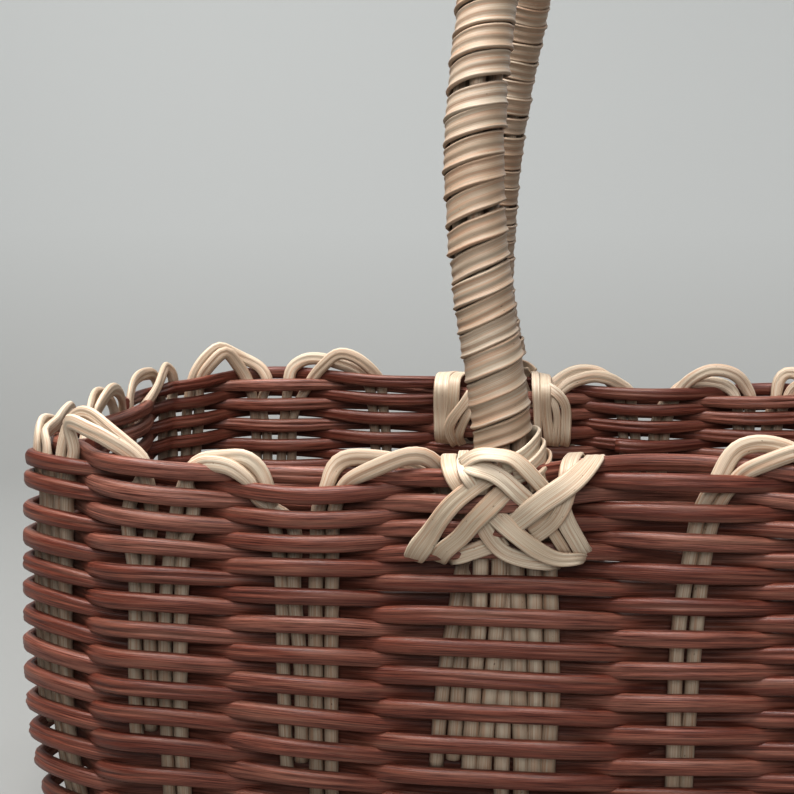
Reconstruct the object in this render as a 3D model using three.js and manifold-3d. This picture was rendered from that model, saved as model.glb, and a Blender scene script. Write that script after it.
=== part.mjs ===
// A wicker basket with a bow handle, in millimetres, +Z up.
// The origin is under the middle of the basket, on the surface that it stands on.
// The front is towards -Y, the length of the basket runs along X, and the bow goes from front to back.
//
// The wall is woven: pairs of pale rods, the stakes, stand up from the base, and dark rods, the weavers,
// pass outside one group of stakes and inside the next. Each weaver band here is two rows of the weave high.
// Every pair of stakes bends over the rim and goes down into the wall beside the next group.
// The bow is six pale rods that run down into the front and back walls as stakes do.

import * as THREE from "three";
import * as BufferGeometryUtils from "three/addons/utils/BufferGeometryUtils.js";
import Module from "manifold-3d";

// Driving sizes of the wall, measured to the middle of its thickness
const wallHalfLength = 160;
const wallHalfDepth = 100;
const cornerRadius = 42;
const wallTaper = 12;
const taperHeight = 70;

// Distances from the middle of the front or back to the stake groups of one quarter, along the wall
const groupDistances = [60, 112, 156, 210];

// Rods and weavers
const rodDiameter = 5;
const weaverThickness = 4.7;
const bandPitch = 9.9;
const bandCount = 15;
const seam = 0.3;
const touch = 0.35;

// Stakes and border
const stakeFoot = 2.5;
const tuckDepth = 95;
const borderLift = 1.8;
const borderTurnRadius = 7.5;
const borderTurnSteps = 3;
const borderSpanSteps = 3;

// Foot and base
const footWidth = 6;
const baseStickCount = 7;
const baseStickSpacing = 21;
const baseStickDiameter = 3.9;
const tunnelSides = 8;

// Bow handle
const handleRodTuck = 104;
const handleRodSides = 6;
const gatherHeight = 8;
const bowRise = 232;
const bowSquareness = 2.4;
const bowSteps = 34;
const bundleGap = 0.3;
const windingClearance = 0.9;

// The bow sways sideways: shares of its half turn from front to back, and how far it leans there
const swayStations = [0, 0.02, 0.06, 0.107, 0.177, 0.5, 0.784, 0.863, 0.94, 0.984, 1];
const swayOffsets = [0.5, -1.8, -6.8, -8.5, -5.2, 8, 5.9, -2.7, -8, -6.2, -2];

// Flat cane wound round the bow
const windingTurns = 24;
const windingSteps = 12;
const windingThickness = 1.6;
const windingGap = 0.9;
const windingStart = 2.5;

// Flat cane lashed over the joint of bow and rim
const lashingThickness = 2.2;
const diagonalWidth = 9;
const diagonalDrop = 32;
const diagonalTop = 8.6;
const diagonalLow = 22;
const diagonalSteps = 10;
const crossStart = 0.2;
const crossEnd = 0.65;
const crossClearance = 1.9;
const leftStrapPlace = -12.2;
const leftStrapWidth = 5.6;
const rightStrapPlace = 19;
const rightStrapWidth = 10;
const strapOutsideDrop = 4.4;
const strapInsideDrop = 34;

// Sizes that follow from these
const rodRadius = rodDiameter / 2;
const rodPitch = rodDiameter + seam / 3;
const pairHalfWidth = rodRadius + rodPitch / 2;
const pairPitch = 2 * pairHalfWidth + seam;
const bandHeight = bandPitch - seam;
const baseThickness = bandHeight - stakeFoot - seam;
const rimHeight = bandPitch * (bandCount + 1) - seam;
const straightX = wallHalfLength - cornerRadius;
const straightY = wallHalfDepth - cornerRadius;
const quarterArc = Math.PI * cornerRadius / 2;
const halfPerimeter = 2 * (straightX + straightY + quarterArc);

// Finishes
function finish(color, roughness) {
  return new THREE.MeshStandardMaterial({ color, roughness, metalness: 0 });
}

const paleRod = () => finish(0xcdbf9f, 0.55);
const paleCane = () => finish(0xdccca6, 0.5);
const darkRod = () => finish(0x6f4234, 0.5);

// The wall's plan is walked from the middle of the front, anticlockwise from above
const wallRuns = [
  { length: straightX },
  { length: quarterArc, round: true },
  { length: 2 * straightY },
  { length: quarterArc, round: true },
  { length: 2 * straightX },
  { length: quarterArc, round: true },
  { length: 2 * straightY },
  { length: quarterArc, round: true },
  { length: straightX },
];

function headingVectors(heading) {
  return {
    tangent: new THREE.Vector3(Math.cos(heading), Math.sin(heading), 0),
    normal: new THREE.Vector3(Math.sin(heading), -Math.cos(heading), 0),
  };
}

function wallFrame(distance) {
  let left = THREE.MathUtils.euclideanModulo(distance, 2 * halfPerimeter);
  let heading = 0;
  const point = new THREE.Vector3(0, -wallHalfDepth, 0);
  for (const run of wallRuns) {
    const walked = Math.min(left, run.length);
    if (run.round) {
      point.addScaledVector(headingVectors(heading).normal, -cornerRadius);
      heading += walked / cornerRadius;
      point.addScaledVector(headingVectors(heading).normal, cornerRadius);
    } else {
      point.addScaledVector(headingVectors(heading).tangent, walked);
    }
    left -= walked;
    if (left <= 0) break;
  }
  return { point, ...headingVectors(heading) };
}

// The wall stands upright and draws in towards the base
function wallInset(z) {
  const below = Math.max(0, 1 - z / taperHeight);
  return wallTaper * below * below;
}

function onWall(frame, along, outward, z) {
  const point = frame.point.clone();
  point.addScaledVector(frame.tangent, along);
  point.addScaledVector(frame.normal, outward - wallInset(z));
  point.z = z;
  return point;
}

// Stake groups. The pair that comes over the rim from the group before goes down on the near side,
// and the group's own pair stands on the far side. The group after a handle has its own pair only.
const handleRodCount = 6;
const handleHalfWidth = rodPitch * (handleRodCount - 1) / 2 + rodRadius;

function plainGroup(distance) {
  const halfWidth = pairPitch + touch;
  return { distance, own: pairPitch / 2, tucked: -pairPitch / 2, before: -halfWidth, after: halfWidth };
}

function handleGroup(distance) {
  const tucked = -handleHalfWidth - seam - pairHalfWidth;
  return { distance, handle: true, tucked, before: tucked - pairHalfWidth, after: handleHalfWidth };
}

function groupAfterHandle(distance) {
  return { distance, own: 0, before: -pairHalfWidth, after: pairHalfWidth };
}

function groupsOfHalf(start) {
  const near = groupDistances.map((d) => start + d);
  const far = groupDistances.map((d) => start + halfPerimeter - d).reverse();
  const plain = [...near.slice(1), ...far].map(plainGroup);
  return [handleGroup(start), groupAfterHandle(near[0]), ...plain];
}

const groups = [...groupsOfHalf(0), ...groupsOfHalf(halfPerimeter)];
for (const group of groups) group.frame = wallFrame(group.distance);

// Handle rods lie side by side in the wall, and gather into one round bundle, five round one, above the rim.
// They leave the flat row first, one above another, and then draw together.
const ringRods = handleRodCount - 1;
const ringRadius = rodDiameter + bundleGap;
const stackStart = rimHeight + seam - 3 * bandPitch;
const stackEnd = rimHeight + seam - bandPitch;
const drawStart = rimHeight + seam - 2 * bandPitch;
const gatherTop = rimHeight + gatherHeight;

function ringSlot(turn) {
  const angle = Math.PI / 2 + turn * 2 * Math.PI / ringRods;
  return { across: ringRadius * Math.cos(angle), out: ringRadius * Math.sin(angle) };
}

const bundleSlots = [ringSlot(1), ringSlot(2), ringSlot(0), { across: 0, out: 0 }, ringSlot(3), ringSlot(4)];
const stackOut = Math.max(...bundleSlots.map((slot) => slot.out));
const stackIn = Math.max(...bundleSlots.map((slot) => -slot.out));

function stacked(z) {
  return THREE.MathUtils.smoothstep(z, stackStart, stackEnd);
}

function drawn(z) {
  return THREE.MathUtils.smoothstep(z, drawStart, gatherTop);
}

function handleRodAt(index, z) {
  const flat = (index - (handleRodCount - 1) / 2) * rodPitch;
  const slot = bundleSlots[index];
  return { across: THREE.MathUtils.lerp(flat, slot.across, drawn(z)), out: slot.out * stacked(z) };
}

// How far from the middle of the wall the middle of a weaver runs as it passes a group
function passDepth(z, side, atHandle) {
  const plain = rodRadius + touch + weaverThickness / 2;
  const bulge = side > 0 ? stackOut : stackIn;
  return plain + (atHandle ? bulge * stacked(z) : 0);
}

// Solids. A loft joins sections of as many points each, and closes either on itself or with two flat ends.
function loft(sections, closed) {
  const sides = sections[0].length;
  const positions = sections.flat().flatMap((point) => point.toArray());
  const index = [];
  const joins = closed ? sections.length : sections.length - 1;
  for (let i = 0; i < joins; i += 1) {
    const here = i * sides;
    const next = ((i + 1) % sections.length) * sides;
    for (let j = 0; j < sides; j += 1) {
      const k = (j + 1) % sides;
      index.push(here + j, here + k, next + k);
      index.push(here + j, next + k, next + j);
    }
  }
  if (!closed) {
    const last = (sections.length - 1) * sides;
    for (let j = 1; j < sides - 1; j += 1) {
      index.push(0, j + 1, j);
      index.push(last, last + j, last + j + 1);
    }
  }
  const geometry = new THREE.BufferGeometry();
  geometry.setAttribute("position", new THREE.Float32BufferAttribute(positions, 3));
  geometry.setIndex(index);
  return geometry;
}

// A path of stations, each with its point and the way that the outside of the section faces there
class StationPath extends THREE.Curve {
  constructor(points, outsides) {
    super();
    this.points = points;
    this.outsides = outsides;
  }

  getPoint(t) {
    const place = t * (this.points.length - 1);
    const index = Math.min(Math.floor(place), this.points.length - 2);
    return this.points[index].clone().lerp(this.points[index + 1], place - index);
  }

  getSpacedPoints() {
    return this.points;
  }

  computeFrenetFrames() {
    const last = this.points.length - 1;
    const frames = { tangents: [], normals: [], binormals: [] };
    this.points.forEach((point, i) => {
      const back = point.clone().sub(this.points[Math.max(i - 1, 0)]).normalize();
      const ahead = this.points[Math.min(i + 1, last)].clone().sub(point).normalize();
      const tangent = back.add(ahead).normalize();
      const across = tangent.clone().cross(this.outsides[i]).normalize();
      frames.tangents.push(tangent);
      frames.binormals.push(across);
      frames.normals.push(across.clone().cross(tangent));
    });
    return frames;
  }
}

// The section's x is through the wall and its y is along it
function sweep(section, points, outsides) {
  const path = new StationPath(points, outsides);
  return new THREE.ExtrudeGeometry(section, { steps: points.length - 1, extrudePath: path });
}

function outline(corners) {
  return new THREE.Shape(corners.map(([x, y]) => new THREE.Vector2(x, y)));
}

function flatSection(thickness, width) {
  const x = thickness / 2;
  const y = width / 2;
  return outline([[x, -y], [x, y], [-x, y], [-x, -y]]);
}

function pairSection() {
  const flat = rodPitch / 2;
  return outline([
    [rodRadius, -flat], [rodRadius, flat], [0, pairHalfWidth],
    [-rodRadius, flat], [-rodRadius, -flat], [0, -pairHalfWidth],
  ]);
}

function roundSection(radius, sides) {
  const corner = (i) => 2 * Math.PI * i / sides;
  return outline(Array.from({ length: sides }, (_, i) => [
    radius * Math.cos(corner(i)), radius * Math.sin(corner(i)),
  ]));
}

const basket = new THREE.Group();

function addPiece(name, geometry, material) {
  const mesh = new THREE.Mesh(geometry, material);
  mesh.name = name;
  basket.add(mesh);
}

// Weaver bands and the foot go round the wall through two places at each plain group and three at a handle
function passPlaces(group) {
  if (!group.handle) return [{ along: group.before }, { along: group.after }];
  return [
    { along: group.before },
    { along: -handleHalfWidth, atHandle: true },
    { along: handleHalfWidth, atHandle: true },
  ];
}

function ringThroughGroups(bottom, top, faces) {
  const sections = groups.flatMap((group, index) => passPlaces(group).map((place) => {
    const corner = (z, face) => onWall(group.frame, place.along, faces(index, z, place)[face], z);
    return [corner(bottom, "inner"), corner(bottom, "outer"), corner(top, "outer"), corner(top, "inner")];
  }));
  return loft(sections.reverse(), true);
}

function weaverFaces(startSide) {
  return (index, z, place) => {
    const side = index % 2 === 0 ? startSide : -startSide;
    const middle = side * passDepth(z, side, place.atHandle);
    return { inner: middle - weaverThickness / 2, outer: middle + weaverThickness / 2 };
  };
}

function weaverBand(row) {
  const bottom = bandPitch * (row + 1);
  const topSide = (bandCount - 1 - row) % 2 === 0 ? 1 : -1;
  return ringThroughGroups(bottom, bottom + bandHeight, weaverFaces(topSide));
}

for (let row = 0; row < bandCount; row += 1) {
  const number = String(row + 1).padStart(2, "0");
  addPiece(`weaver_band_${number}`, weaverBand(row), darkRod());
}

function footFaces() {
  const inner = rodRadius + touch;
  return { inner, outer: inner + footWidth };
}

addPiece("foot_ring", ringThroughGroups(0, bandHeight, footFaces), darkRod());

// The base is a woven panel with sticks through it from end to end, cut off at its edge
const baseEdge = -rodRadius - touch;
const stickHeight = stakeFoot + baseThickness / 2;

function baseOutline() {
  const corners = groups.flatMap((group) => passPlaces(group).map((place) => {
    const point = onWall(group.frame, place.along, baseEdge, 0);
    return [point.x, point.y];
  }));
  return outline(corners);
}

function alongX(section, length, y, z) {
  const points = [new THREE.Vector3(-length / 2, y, z), new THREE.Vector3(length / 2, y, z)];
  const up = new THREE.Vector3(0, 0, 1);
  return sweep(section, points, [up, up]);
}

const wasm = await Module();
wasm.setup();

function toSolid(geometry) {
  const bare = geometry.clone();
  bare.deleteAttribute("normal");
  bare.deleteAttribute("uv");
  const merged = BufferGeometryUtils.mergeVertices(bare);
  return new wasm.Manifold(new wasm.Mesh({
    numProp: 3,
    vertProperties: new Float32Array(merged.attributes.position.array),
    triVerts: new Uint32Array(merged.index.array),
  }));
}

function toGeometry(solid) {
  const mesh = solid.getMesh();
  const geometry = new THREE.BufferGeometry();
  geometry.setAttribute("position", new THREE.Float32BufferAttribute(mesh.vertProperties, 3));
  geometry.setIndex([...mesh.triVerts]);
  return geometry;
}

function stickPlaces() {
  return Array.from({ length: baseStickCount }, (_, i) => (i - (baseStickCount - 1) / 2) * baseStickSpacing);
}

function baseSlab() {
  const slab = new THREE.ExtrudeGeometry(baseOutline(), { depth: baseThickness, bevelEnabled: false });
  slab.translate(0, 0, stakeFoot);
  return toSolid(slab);
}

function acrossBase(radius, y) {
  return toSolid(alongX(roundSection(radius, tunnelSides), 2 * wallHalfLength, y, stickHeight));
}

const slab = baseSlab();
const stickRadius = baseStickDiameter / 2;
const panel = stickPlaces().reduce((solid, y) => solid.subtract(acrossBase(stickRadius + touch, y)), slab);
addPiece("base_panel", toGeometry(panel), paleRod());
stickPlaces().forEach((y, i) => {
  addPiece(`base_stick_${i + 1}`, toGeometry(slab.intersect(acrossBase(stickRadius, y))), paleRod());
});

// Heights where a rod in the wall has a station, the same as the edges of the weaver bands
function levelsBetween(low, high) {
  const edges = Array.from({ length: bandCount + 1 }, (_, i) => bandPitch * (i + 1));
  return [low, ...edges.filter((z) => z > low && z < high), high];
}

function taperLevels(top) {
  return levelsBetween(stakeFoot, top).filter((z) => z <= taperHeight + bandPitch || z === top);
}

// A pair of stakes rises in its group, turns over above the rim and goes down beside the next group
const borderMiddle = rimHeight + pairHalfWidth + borderLift;
const turnStart = borderMiddle - borderTurnRadius;

function borderPoints(from, to) {
  const start = from.distance + from.own;
  const span = THREE.MathUtils.euclideanModulo(to.distance + to.tucked - start, 2 * halfPerimeter);
  const places = [];
  for (let i = 1; i <= borderTurnSteps; i += 1) {
    const angle = Math.PI / 2 * i / borderTurnSteps;
    const along = borderTurnRadius * (1 - Math.cos(angle));
    places.push([along, turnStart + borderTurnRadius * Math.sin(angle)]);
  }
  const back = places.map(([along, z]) => [span - along, z]).reverse();
  const flat = span - 2 * borderTurnRadius;
  for (let i = 1; i < borderSpanSteps; i += 1) {
    places.push([borderTurnRadius + flat * i / borderSpanSteps, borderMiddle]);
  }
  return [...places, ...back].map(([along, z]) => {
    const frame = wallFrame(start + along);
    return { point: onWall(frame, 0, 0, z), outside: frame.normal };
  });
}

function stakePair(from, to) {
  const rise = taperLevels(turnStart).map((z) => ({
    point: onWall(from.frame, from.own, 0, z), outside: from.frame.normal,
  }));
  const fall = [turnStart, rimHeight - tuckDepth].map((z) => ({
    point: onWall(to.frame, to.tucked, 0, z), outside: to.frame.normal,
  }));
  const stations = [...rise, ...borderPoints(from, to), ...fall];
  return sweep(pairSection(), stations.map((s) => s.point), stations.map((s) => s.outside));
}

groups.forEach((group, index) => {
  if (group.handle) return;
  const next = groups[(index + 1) % groups.length];
  const number = String(index).padStart(2, "0");
  addPiece(`stake_pair_${number}`, stakePair(group, next), paleRod());
});

// The bow's middle line: a rounded arch from the front rim to the back rim, with the sway of bent rods
const swayCurve = new THREE.CubicInterpolant(swayStations, swayOffsets, 1);

function swayAt(fraction) {
  return swayCurve.evaluate(fraction)[0];
}

class BowCurve extends THREE.Curve {
  getPoint(t) {
    const angle = Math.PI * t;
    const power = 2 / bowSquareness;
    const y = -Math.sign(Math.cos(angle)) * Math.abs(Math.cos(angle)) ** power * wallHalfDepth;
    const z = gatherTop + bowRise * Math.abs(Math.sin(angle)) ** power;
    return new THREE.Vector3(swayAt(t), y, z);
  }
}

const bow = new BowCurve();
const acrossBow = new THREE.Vector3(1, 0, 0);

function bowFrame(fraction) {
  const tangent = bow.getTangentAt(fraction);
  const across = acrossBow.clone().addScaledVector(tangent, -acrossBow.dot(tangent)).normalize();
  return { point: bow.getPointAt(fraction), across, outside: across.clone().cross(tangent) };
}

function besideBow(fraction, across, out) {
  const frame = bowFrame(fraction);
  return frame.point.addScaledVector(frame.across, across).addScaledVector(frame.outside, out);
}

// The two middle rods reach the base, and the others end in the wall
function handleRodFoot(index) {
  const middle = Math.abs(index - (handleRodCount - 1) / 2) < 1;
  return middle ? stakeFoot : rimHeight - handleRodTuck;
}

function handleLeg(index, side) {
  const normal = new THREE.Vector3(0, side, 0);
  return levelsBetween(handleRodFoot(index), rimHeight).map((z) => {
    const place = handleRodAt(index, z);
    const y = side * (wallHalfDepth + place.out - wallInset(z));
    return { point: new THREE.Vector3(place.across, y, z), outside: normal };
  });
}

function handleRod(index) {
  const slot = bundleSlots[index];
  const arch = Array.from({ length: bowSteps + 1 }, (_, i) => ({
    point: besideBow(i / bowSteps, slot.across, slot.out),
    outside: bowFrame(i / bowSteps).outside,
  }));
  const stations = [...handleLeg(index, -1), ...arch, ...handleLeg(index, 1).reverse()];
  const section = roundSection(rodRadius, handleRodSides);
  return sweep(section, stations.map((s) => s.point), stations.map((s) => s.outside));
}

for (let index = 0; index < handleRodCount; index += 1) {
  addPiece(`handle_rod_${index + 1}`, handleRod(index), paleRod());
}

// One unbroken strip of flat cane winds round the bow. Its edges follow the bow a set gap apart.
const windingInner = ringRadius + rodRadius + windingClearance;
const bowLength = bow.getLength();
const windingFrom = windingStart / bowLength;
const windingPitch = (1 - 2 * windingFrom) / (windingTurns + 1);
const windingHalf = (windingPitch - windingGap / bowLength) / 2;

function windingCorner(turn, edge, radius) {
  const fraction = windingFrom + windingPitch * (turn + 0.5) + edge * windingHalf;
  const angle = 2 * Math.PI * turn;
  return besideBow(fraction, radius * Math.cos(angle), radius * Math.sin(angle));
}

function windingSection(turn) {
  const outer = windingInner + windingThickness;
  return [
    windingCorner(turn, -1, windingInner), windingCorner(turn, -1, outer),
    windingCorner(turn, 1, outer), windingCorner(turn, 1, windingInner),
  ];
}

function straightEnd(end, before) {
  const step = end[0].clone().sub(before[0]).normalize().multiplyScalar(windingThickness);
  return end.map((corner) => corner.clone().add(step));
}

function windingSections() {
  const count = windingTurns * windingSteps;
  const wound = Array.from({ length: count + 1 }, (_, i) => windingSection(i / windingSteps));
  return [straightEnd(wound[0], wound[1]), ...wound, straightEnd(wound[count], wound[count - 1])];
}

function leastGap(sections) {
  let least = Infinity;
  for (let i = 0; i + windingSteps < sections.length; i += 1) {
    const next = sections[i + windingSteps];
    least = Math.min(least, sections[i][2].distanceTo(next[1]), sections[i][3].distanceTo(next[0]));
  }
  return least;
}

const wound = windingSections();
console.log(`least gap between the turns of the handle winding: ${leastGap(wound).toFixed(2)} mm`);
addPiece("handle_winding", loft(wound, false), paleCane());

// Lashing: two crossed diagonals outside the wall, and a strap over the rim on each side of the bow
function lashingDepth(z, side, layers) {
  const face = passDepth(Math.min(z, rimHeight), side, true) + weaverThickness / 2;
  return face + touch + lashingThickness / 2 + layers * (lashingThickness + crossClearance);
}

function diagonal(frame, from, to, over) {
  const points = Array.from({ length: diagonalSteps + 1 }, (_, i) => {
    const t = i / diagonalSteps;
    const z = rimHeight - THREE.MathUtils.lerp(diagonalTop, diagonalDrop, t);
    const rise = THREE.MathUtils.smoothstep(t, 0, crossStart);
    const fall = THREE.MathUtils.smoothstep(1 - t, 0, 1 - crossEnd);
    const layers = over ? rise * fall : 0;
    const depth = lashingDepth(z + diagonalWidth / 2, 1, layers) + touch;
    return onWall(frame, THREE.MathUtils.lerp(from, to, t), depth, z);
  });
  return sweep(flatSection(lashingThickness, diagonalWidth), points, points.map(() => frame.normal));
}

function strap(frame, place, width) {
  const over = rimHeight + touch + lashingThickness / 2;
  const outside = lashingDepth(rimHeight, 1, 0);
  const inside = -lashingDepth(rimHeight, -1, 0);
  const turn = lashingThickness / 3;
  const inward = frame.normal.clone().negate();
  const up = new THREE.Vector3(0, 0, 1);
  const path = [
    [outside, rimHeight - strapOutsideDrop, frame.normal],
    [outside, over - turn, frame.normal],
    [outside - turn, over, up],
    [inside + turn, over, up],
    [inside, over - turn, inward],
    [inside, stackEnd, inward],
    [-lashingDepth(stackStart, -1, 0), stackStart, inward],
    [-lashingDepth(stackStart, -1, 0), rimHeight - strapInsideDrop, inward],
  ];
  const points = path.map(([outward, z]) => onWall(frame, place, outward, z));
  return sweep(flatSection(lashingThickness, width), points, path.map((station) => station[2]));
}

function lash(name, frame) {
  addPiece(`lashing_diagonal_under_${name}`, diagonal(frame, leftStrapPlace, diagonalLow, false), paleCane());
  addPiece(`lashing_diagonal_over_${name}`, diagonal(frame, rightStrapPlace, -diagonalLow, true), paleCane());
  addPiece(`lashing_strap_near_${name}`, strap(frame, leftStrapPlace, leftStrapWidth), paleCane());
  addPiece(`lashing_strap_far_${name}`, strap(frame, rightStrapPlace, rightStrapWidth), paleCane());
}

lash("front", groups[0].frame);
lash("back", groups[groups.length / 2].frame);

export default basket;
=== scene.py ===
# %% [markdown]
# A wicker basket with a bow handle
#
# The real basket is made of about eighty willow rods and some lengths of flat cane. Plain walls with a
# woven texture would be quicker, but they have no gaps, no crossings and no looped border. So each rod and
# strip here is a surface of its own: an outline carried along a path, as a rod is laid along its way. The
# paths are worked out in millimetres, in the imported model's frame, and scaled to metres at the end.

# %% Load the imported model
import math

import bpy
import numpy as np
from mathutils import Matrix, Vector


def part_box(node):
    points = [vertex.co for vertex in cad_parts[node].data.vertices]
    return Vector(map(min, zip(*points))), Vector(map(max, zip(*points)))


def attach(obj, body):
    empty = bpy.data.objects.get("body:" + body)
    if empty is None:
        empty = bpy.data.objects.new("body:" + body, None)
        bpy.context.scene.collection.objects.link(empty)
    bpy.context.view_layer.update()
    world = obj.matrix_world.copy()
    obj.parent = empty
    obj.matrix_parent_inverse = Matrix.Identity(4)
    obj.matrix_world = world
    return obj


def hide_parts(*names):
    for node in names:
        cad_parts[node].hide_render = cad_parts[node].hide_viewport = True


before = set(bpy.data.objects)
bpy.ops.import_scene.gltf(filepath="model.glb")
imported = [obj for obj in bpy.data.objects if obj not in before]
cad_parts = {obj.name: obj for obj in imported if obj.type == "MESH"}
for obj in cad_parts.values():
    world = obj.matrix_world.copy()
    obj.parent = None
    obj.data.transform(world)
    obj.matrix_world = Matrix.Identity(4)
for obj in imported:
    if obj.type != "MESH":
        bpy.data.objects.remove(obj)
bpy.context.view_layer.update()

MM = 0.001

# %% [markdown]
# Smooth curves
#
# A willow rod that is held at a few places bends as little as it can between them. Bezier curves could be
# drawn through the places, but each handle would be a guess. A natural cubic spline needs none: its slopes
# follow from the rule that the bend is the same on both sides of each place. Rods also wander a little by
# nature, which a sum of a few sine waves gives.

# %% Curves through values
def ease(t):
    """The smooth step 3t^2 - 2t^3, flat at both ends."""
    t = np.clip(t, 0, 1)
    return t * t * (3 - 2 * t)


def bent_slopes(places, values):
    """Slopes m of the bent rod, for gaps h: m/h before + 2m (1/h before + 1/h after) + m/h after =
    3 (rise/h before + rise/h after) at each place, and no bend at the two ends."""
    count = len(places)
    gap = np.diff(places)[:, None]
    pull = 3 * (np.diff(values, axis=0) / gap) / gap
    near = np.append(0, 1 / gap)
    far = np.append(1 / gap, 0)
    here = np.arange(count)
    system = np.zeros((count, count))
    system[here, here] = 2 * (near + far)
    system[here[:-1], here[1:]] = far[:-1]
    system[here[1:], here[:-1]] = near[1:]
    zero = np.zeros((1, values.shape[1]))
    return np.linalg.solve(system, np.concatenate([zero, pull]) + np.concatenate([pull, zero]))


def bent(places, values, at):
    """The bent rod through values at places, read at other places: a cubic between neighbours that takes
    up their values and slopes."""
    values = np.asarray(values, float)
    table = values[:, None] if values.ndim == 1 else values
    places = np.asarray(places, float)
    slopes = bent_slopes(places, table)
    i = np.clip(np.searchsorted(places, at, side="right") - 1, 0, len(places) - 2)
    gap = (places[i + 1] - places[i])[:, None]
    t = (at - places[i])[:, None] / gap
    out = ((1 + 2 * t) * (1 - t) ** 2 * table[i] + t * (1 - t) ** 2 * gap * slopes[i]
           + t * t * (3 - 2 * t) * table[i + 1] + t * t * (t - 1) * gap * slopes[i + 1])
    return out[:, 0] if values.ndim == 1 else out


def through(points, step):
    """A bent rod through given points, with its places measured along the chords."""
    points = np.asarray(points, float)
    chords = np.concatenate([[0], np.cumsum(np.linalg.norm(np.diff(points, axis=0), axis=1))])
    return bent(chords, points, np.linspace(0, chords[-1], max(int(chords[-1] / step), 8)))


def wander(turn, seed, waves=(2, 3, 5, 8, 13)):
    """Smooth noise of about unit size: sine waves of the turn with seeded phases, weaker one by one."""
    phases = np.random.default_rng(seed).uniform(0, 2 * np.pi, len(waves))
    total = sum(
        np.sin(2 * np.pi * wave * turn + phase) / (k + 1) ** 0.5
        for k, (wave, phase) in enumerate(zip(waves, phases))
    )
    return total / 2


def chance(seed, low, high, count=None):
    """Seeded even chance between two values."""
    return np.random.default_rng(seed).uniform(low, high, count)


# %% [markdown]
# The wall's plan
#
# Seen from above, the wall is a rectangle with round corners. Its rods could be drawn straight in x and y,
# but then each would need its own corners. Here a place on the wall is a distance walked anticlockwise from
# the middle of the front, so a rod is a curve of distance, depth and height, and the corners come by
# themselves. The stakes stand in eighteen groups, at the same distances in all four quarters.

# %% Sizes of the wall, in millimetres
HALF_LENGTH = 160.0
HALF_DEPTH = 100.0
CORNER = 42.0
TAPER = 12.0
TAPER_HEIGHT = 70.0
BELLY = 3.2
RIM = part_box("weaver_band_15")[1].z / MM
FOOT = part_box("foot_ring")[1].z / MM
ROWS = 30
ROW_PITCH = (RIM - FOOT) / ROWS
STRAIGHT_X = HALF_LENGTH - CORNER
STRAIGHT_Y = HALF_DEPTH - CORNER
QUARTER_ARC = math.pi * CORNER / 2
RUNS = [
    (STRAIGHT_X, False), (QUARTER_ARC, True), (2 * STRAIGHT_Y, False), (QUARTER_ARC, True),
    (2 * STRAIGHT_X, False), (QUARTER_ARC, True), (2 * STRAIGHT_Y, False), (QUARTER_ARC, True),
    (STRAIGHT_X, False),
]
HALF_WAY = 2 * (STRAIGHT_X + STRAIGHT_Y + QUARTER_ARC)
WHOLE_WAY = 2 * HALF_WAY
QUARTER_GROUPS = [61.0, 111.5, 156.0, 210.0]
half_groups = [0.0] + QUARTER_GROUPS + [HALF_WAY - d for d in reversed(QUARTER_GROUPS)]
GROUPS = np.array(half_groups + [HALF_WAY + d for d in half_groups])
COUNT = len(GROUPS)
print("wall:", round(RIM, 1), "mm high,", round(WHOLE_WAY), "mm round,", round(ROW_PITCH, 2), "mm a row")

# %% Corners that the stakes pull out
CORNER_GROUPS = ((3, 1), (6, -1), (12, 1), (15, -1))
CORNER_AWAY = [-52.0, -36.0, -28.0, -20.0, -10.0, 0.0, 4.5, 7.6, 10.5, 13.5, 20.6, 28.0, 40.0, 52.0]
CORNER_OUT = [0.0, 0.0, -0.3, -1.2, -1.7, -0.5, 0.6, 1.3, 0.4, -0.6, -1.6, -1.6, -0.7, 0.0]


def corner_push(distance):
    """How far the wall lies outside its round corner. Between stakes the rods run nearly straight, so the
    wall turns sharply at the far side of the stakes in a corner: a bent rod of the distance from them."""
    push = np.zeros(distance.size)
    for group, onward in CORNER_GROUPS:
        away = onward * (np.mod(distance.ravel() - GROUPS[group] + HALF_WAY, WHOLE_WAY) - HALF_WAY)
        push += np.where(np.abs(away) < CORNER_AWAY[-1], bent(CORNER_AWAY, CORNER_OUT, away), 0)
    return push.reshape(distance.shape)


# %% A place on the wall
def wall_plan(distance):
    """Place and heading on the plan. Each run adds its straight or its arc: on an arc of radius R the
    place moves by R times (sin b - sin a, cos a - cos b) while the heading turns from a to b."""
    left = np.mod(distance, WHOLE_WAY)
    x = np.zeros_like(left)
    y = np.full_like(left, -HALF_DEPTH)
    heading = np.zeros_like(left)
    for length, is_round in RUNS:
        walked = np.clip(left, 0, length)
        left = left - walked
        if is_round:
            turned = heading + walked / CORNER
            x = x + CORNER * (np.sin(turned) - np.sin(heading))
            y = y + CORNER * (np.cos(heading) - np.cos(turned))
            heading = turned
        else:
            x = x + walked * np.cos(heading)
            y = y + walked * np.sin(heading)
    return x, y, heading


def wall_out(distance):
    """The outward normal of the wall, level: (sin h, -cos h, 0) for a heading h."""
    heading = wall_plan(np.asarray(distance, float))[2]
    return np.stack([np.sin(heading), -np.cos(heading), np.zeros_like(heading)], -1)


def wall_inset(height):
    """How far the wall stands in: TAPER (1 - z / TAPER_HEIGHT)^2 near its foot, less a swelling of
    BELLY sin (pi z / RIM) between foot and rim."""
    swell = BELLY * np.sin(np.pi * np.clip(height / RIM, 0, 1))
    return TAPER * np.clip(1 - height / TAPER_HEIGHT, 0, None) ** 2 - swell


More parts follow.
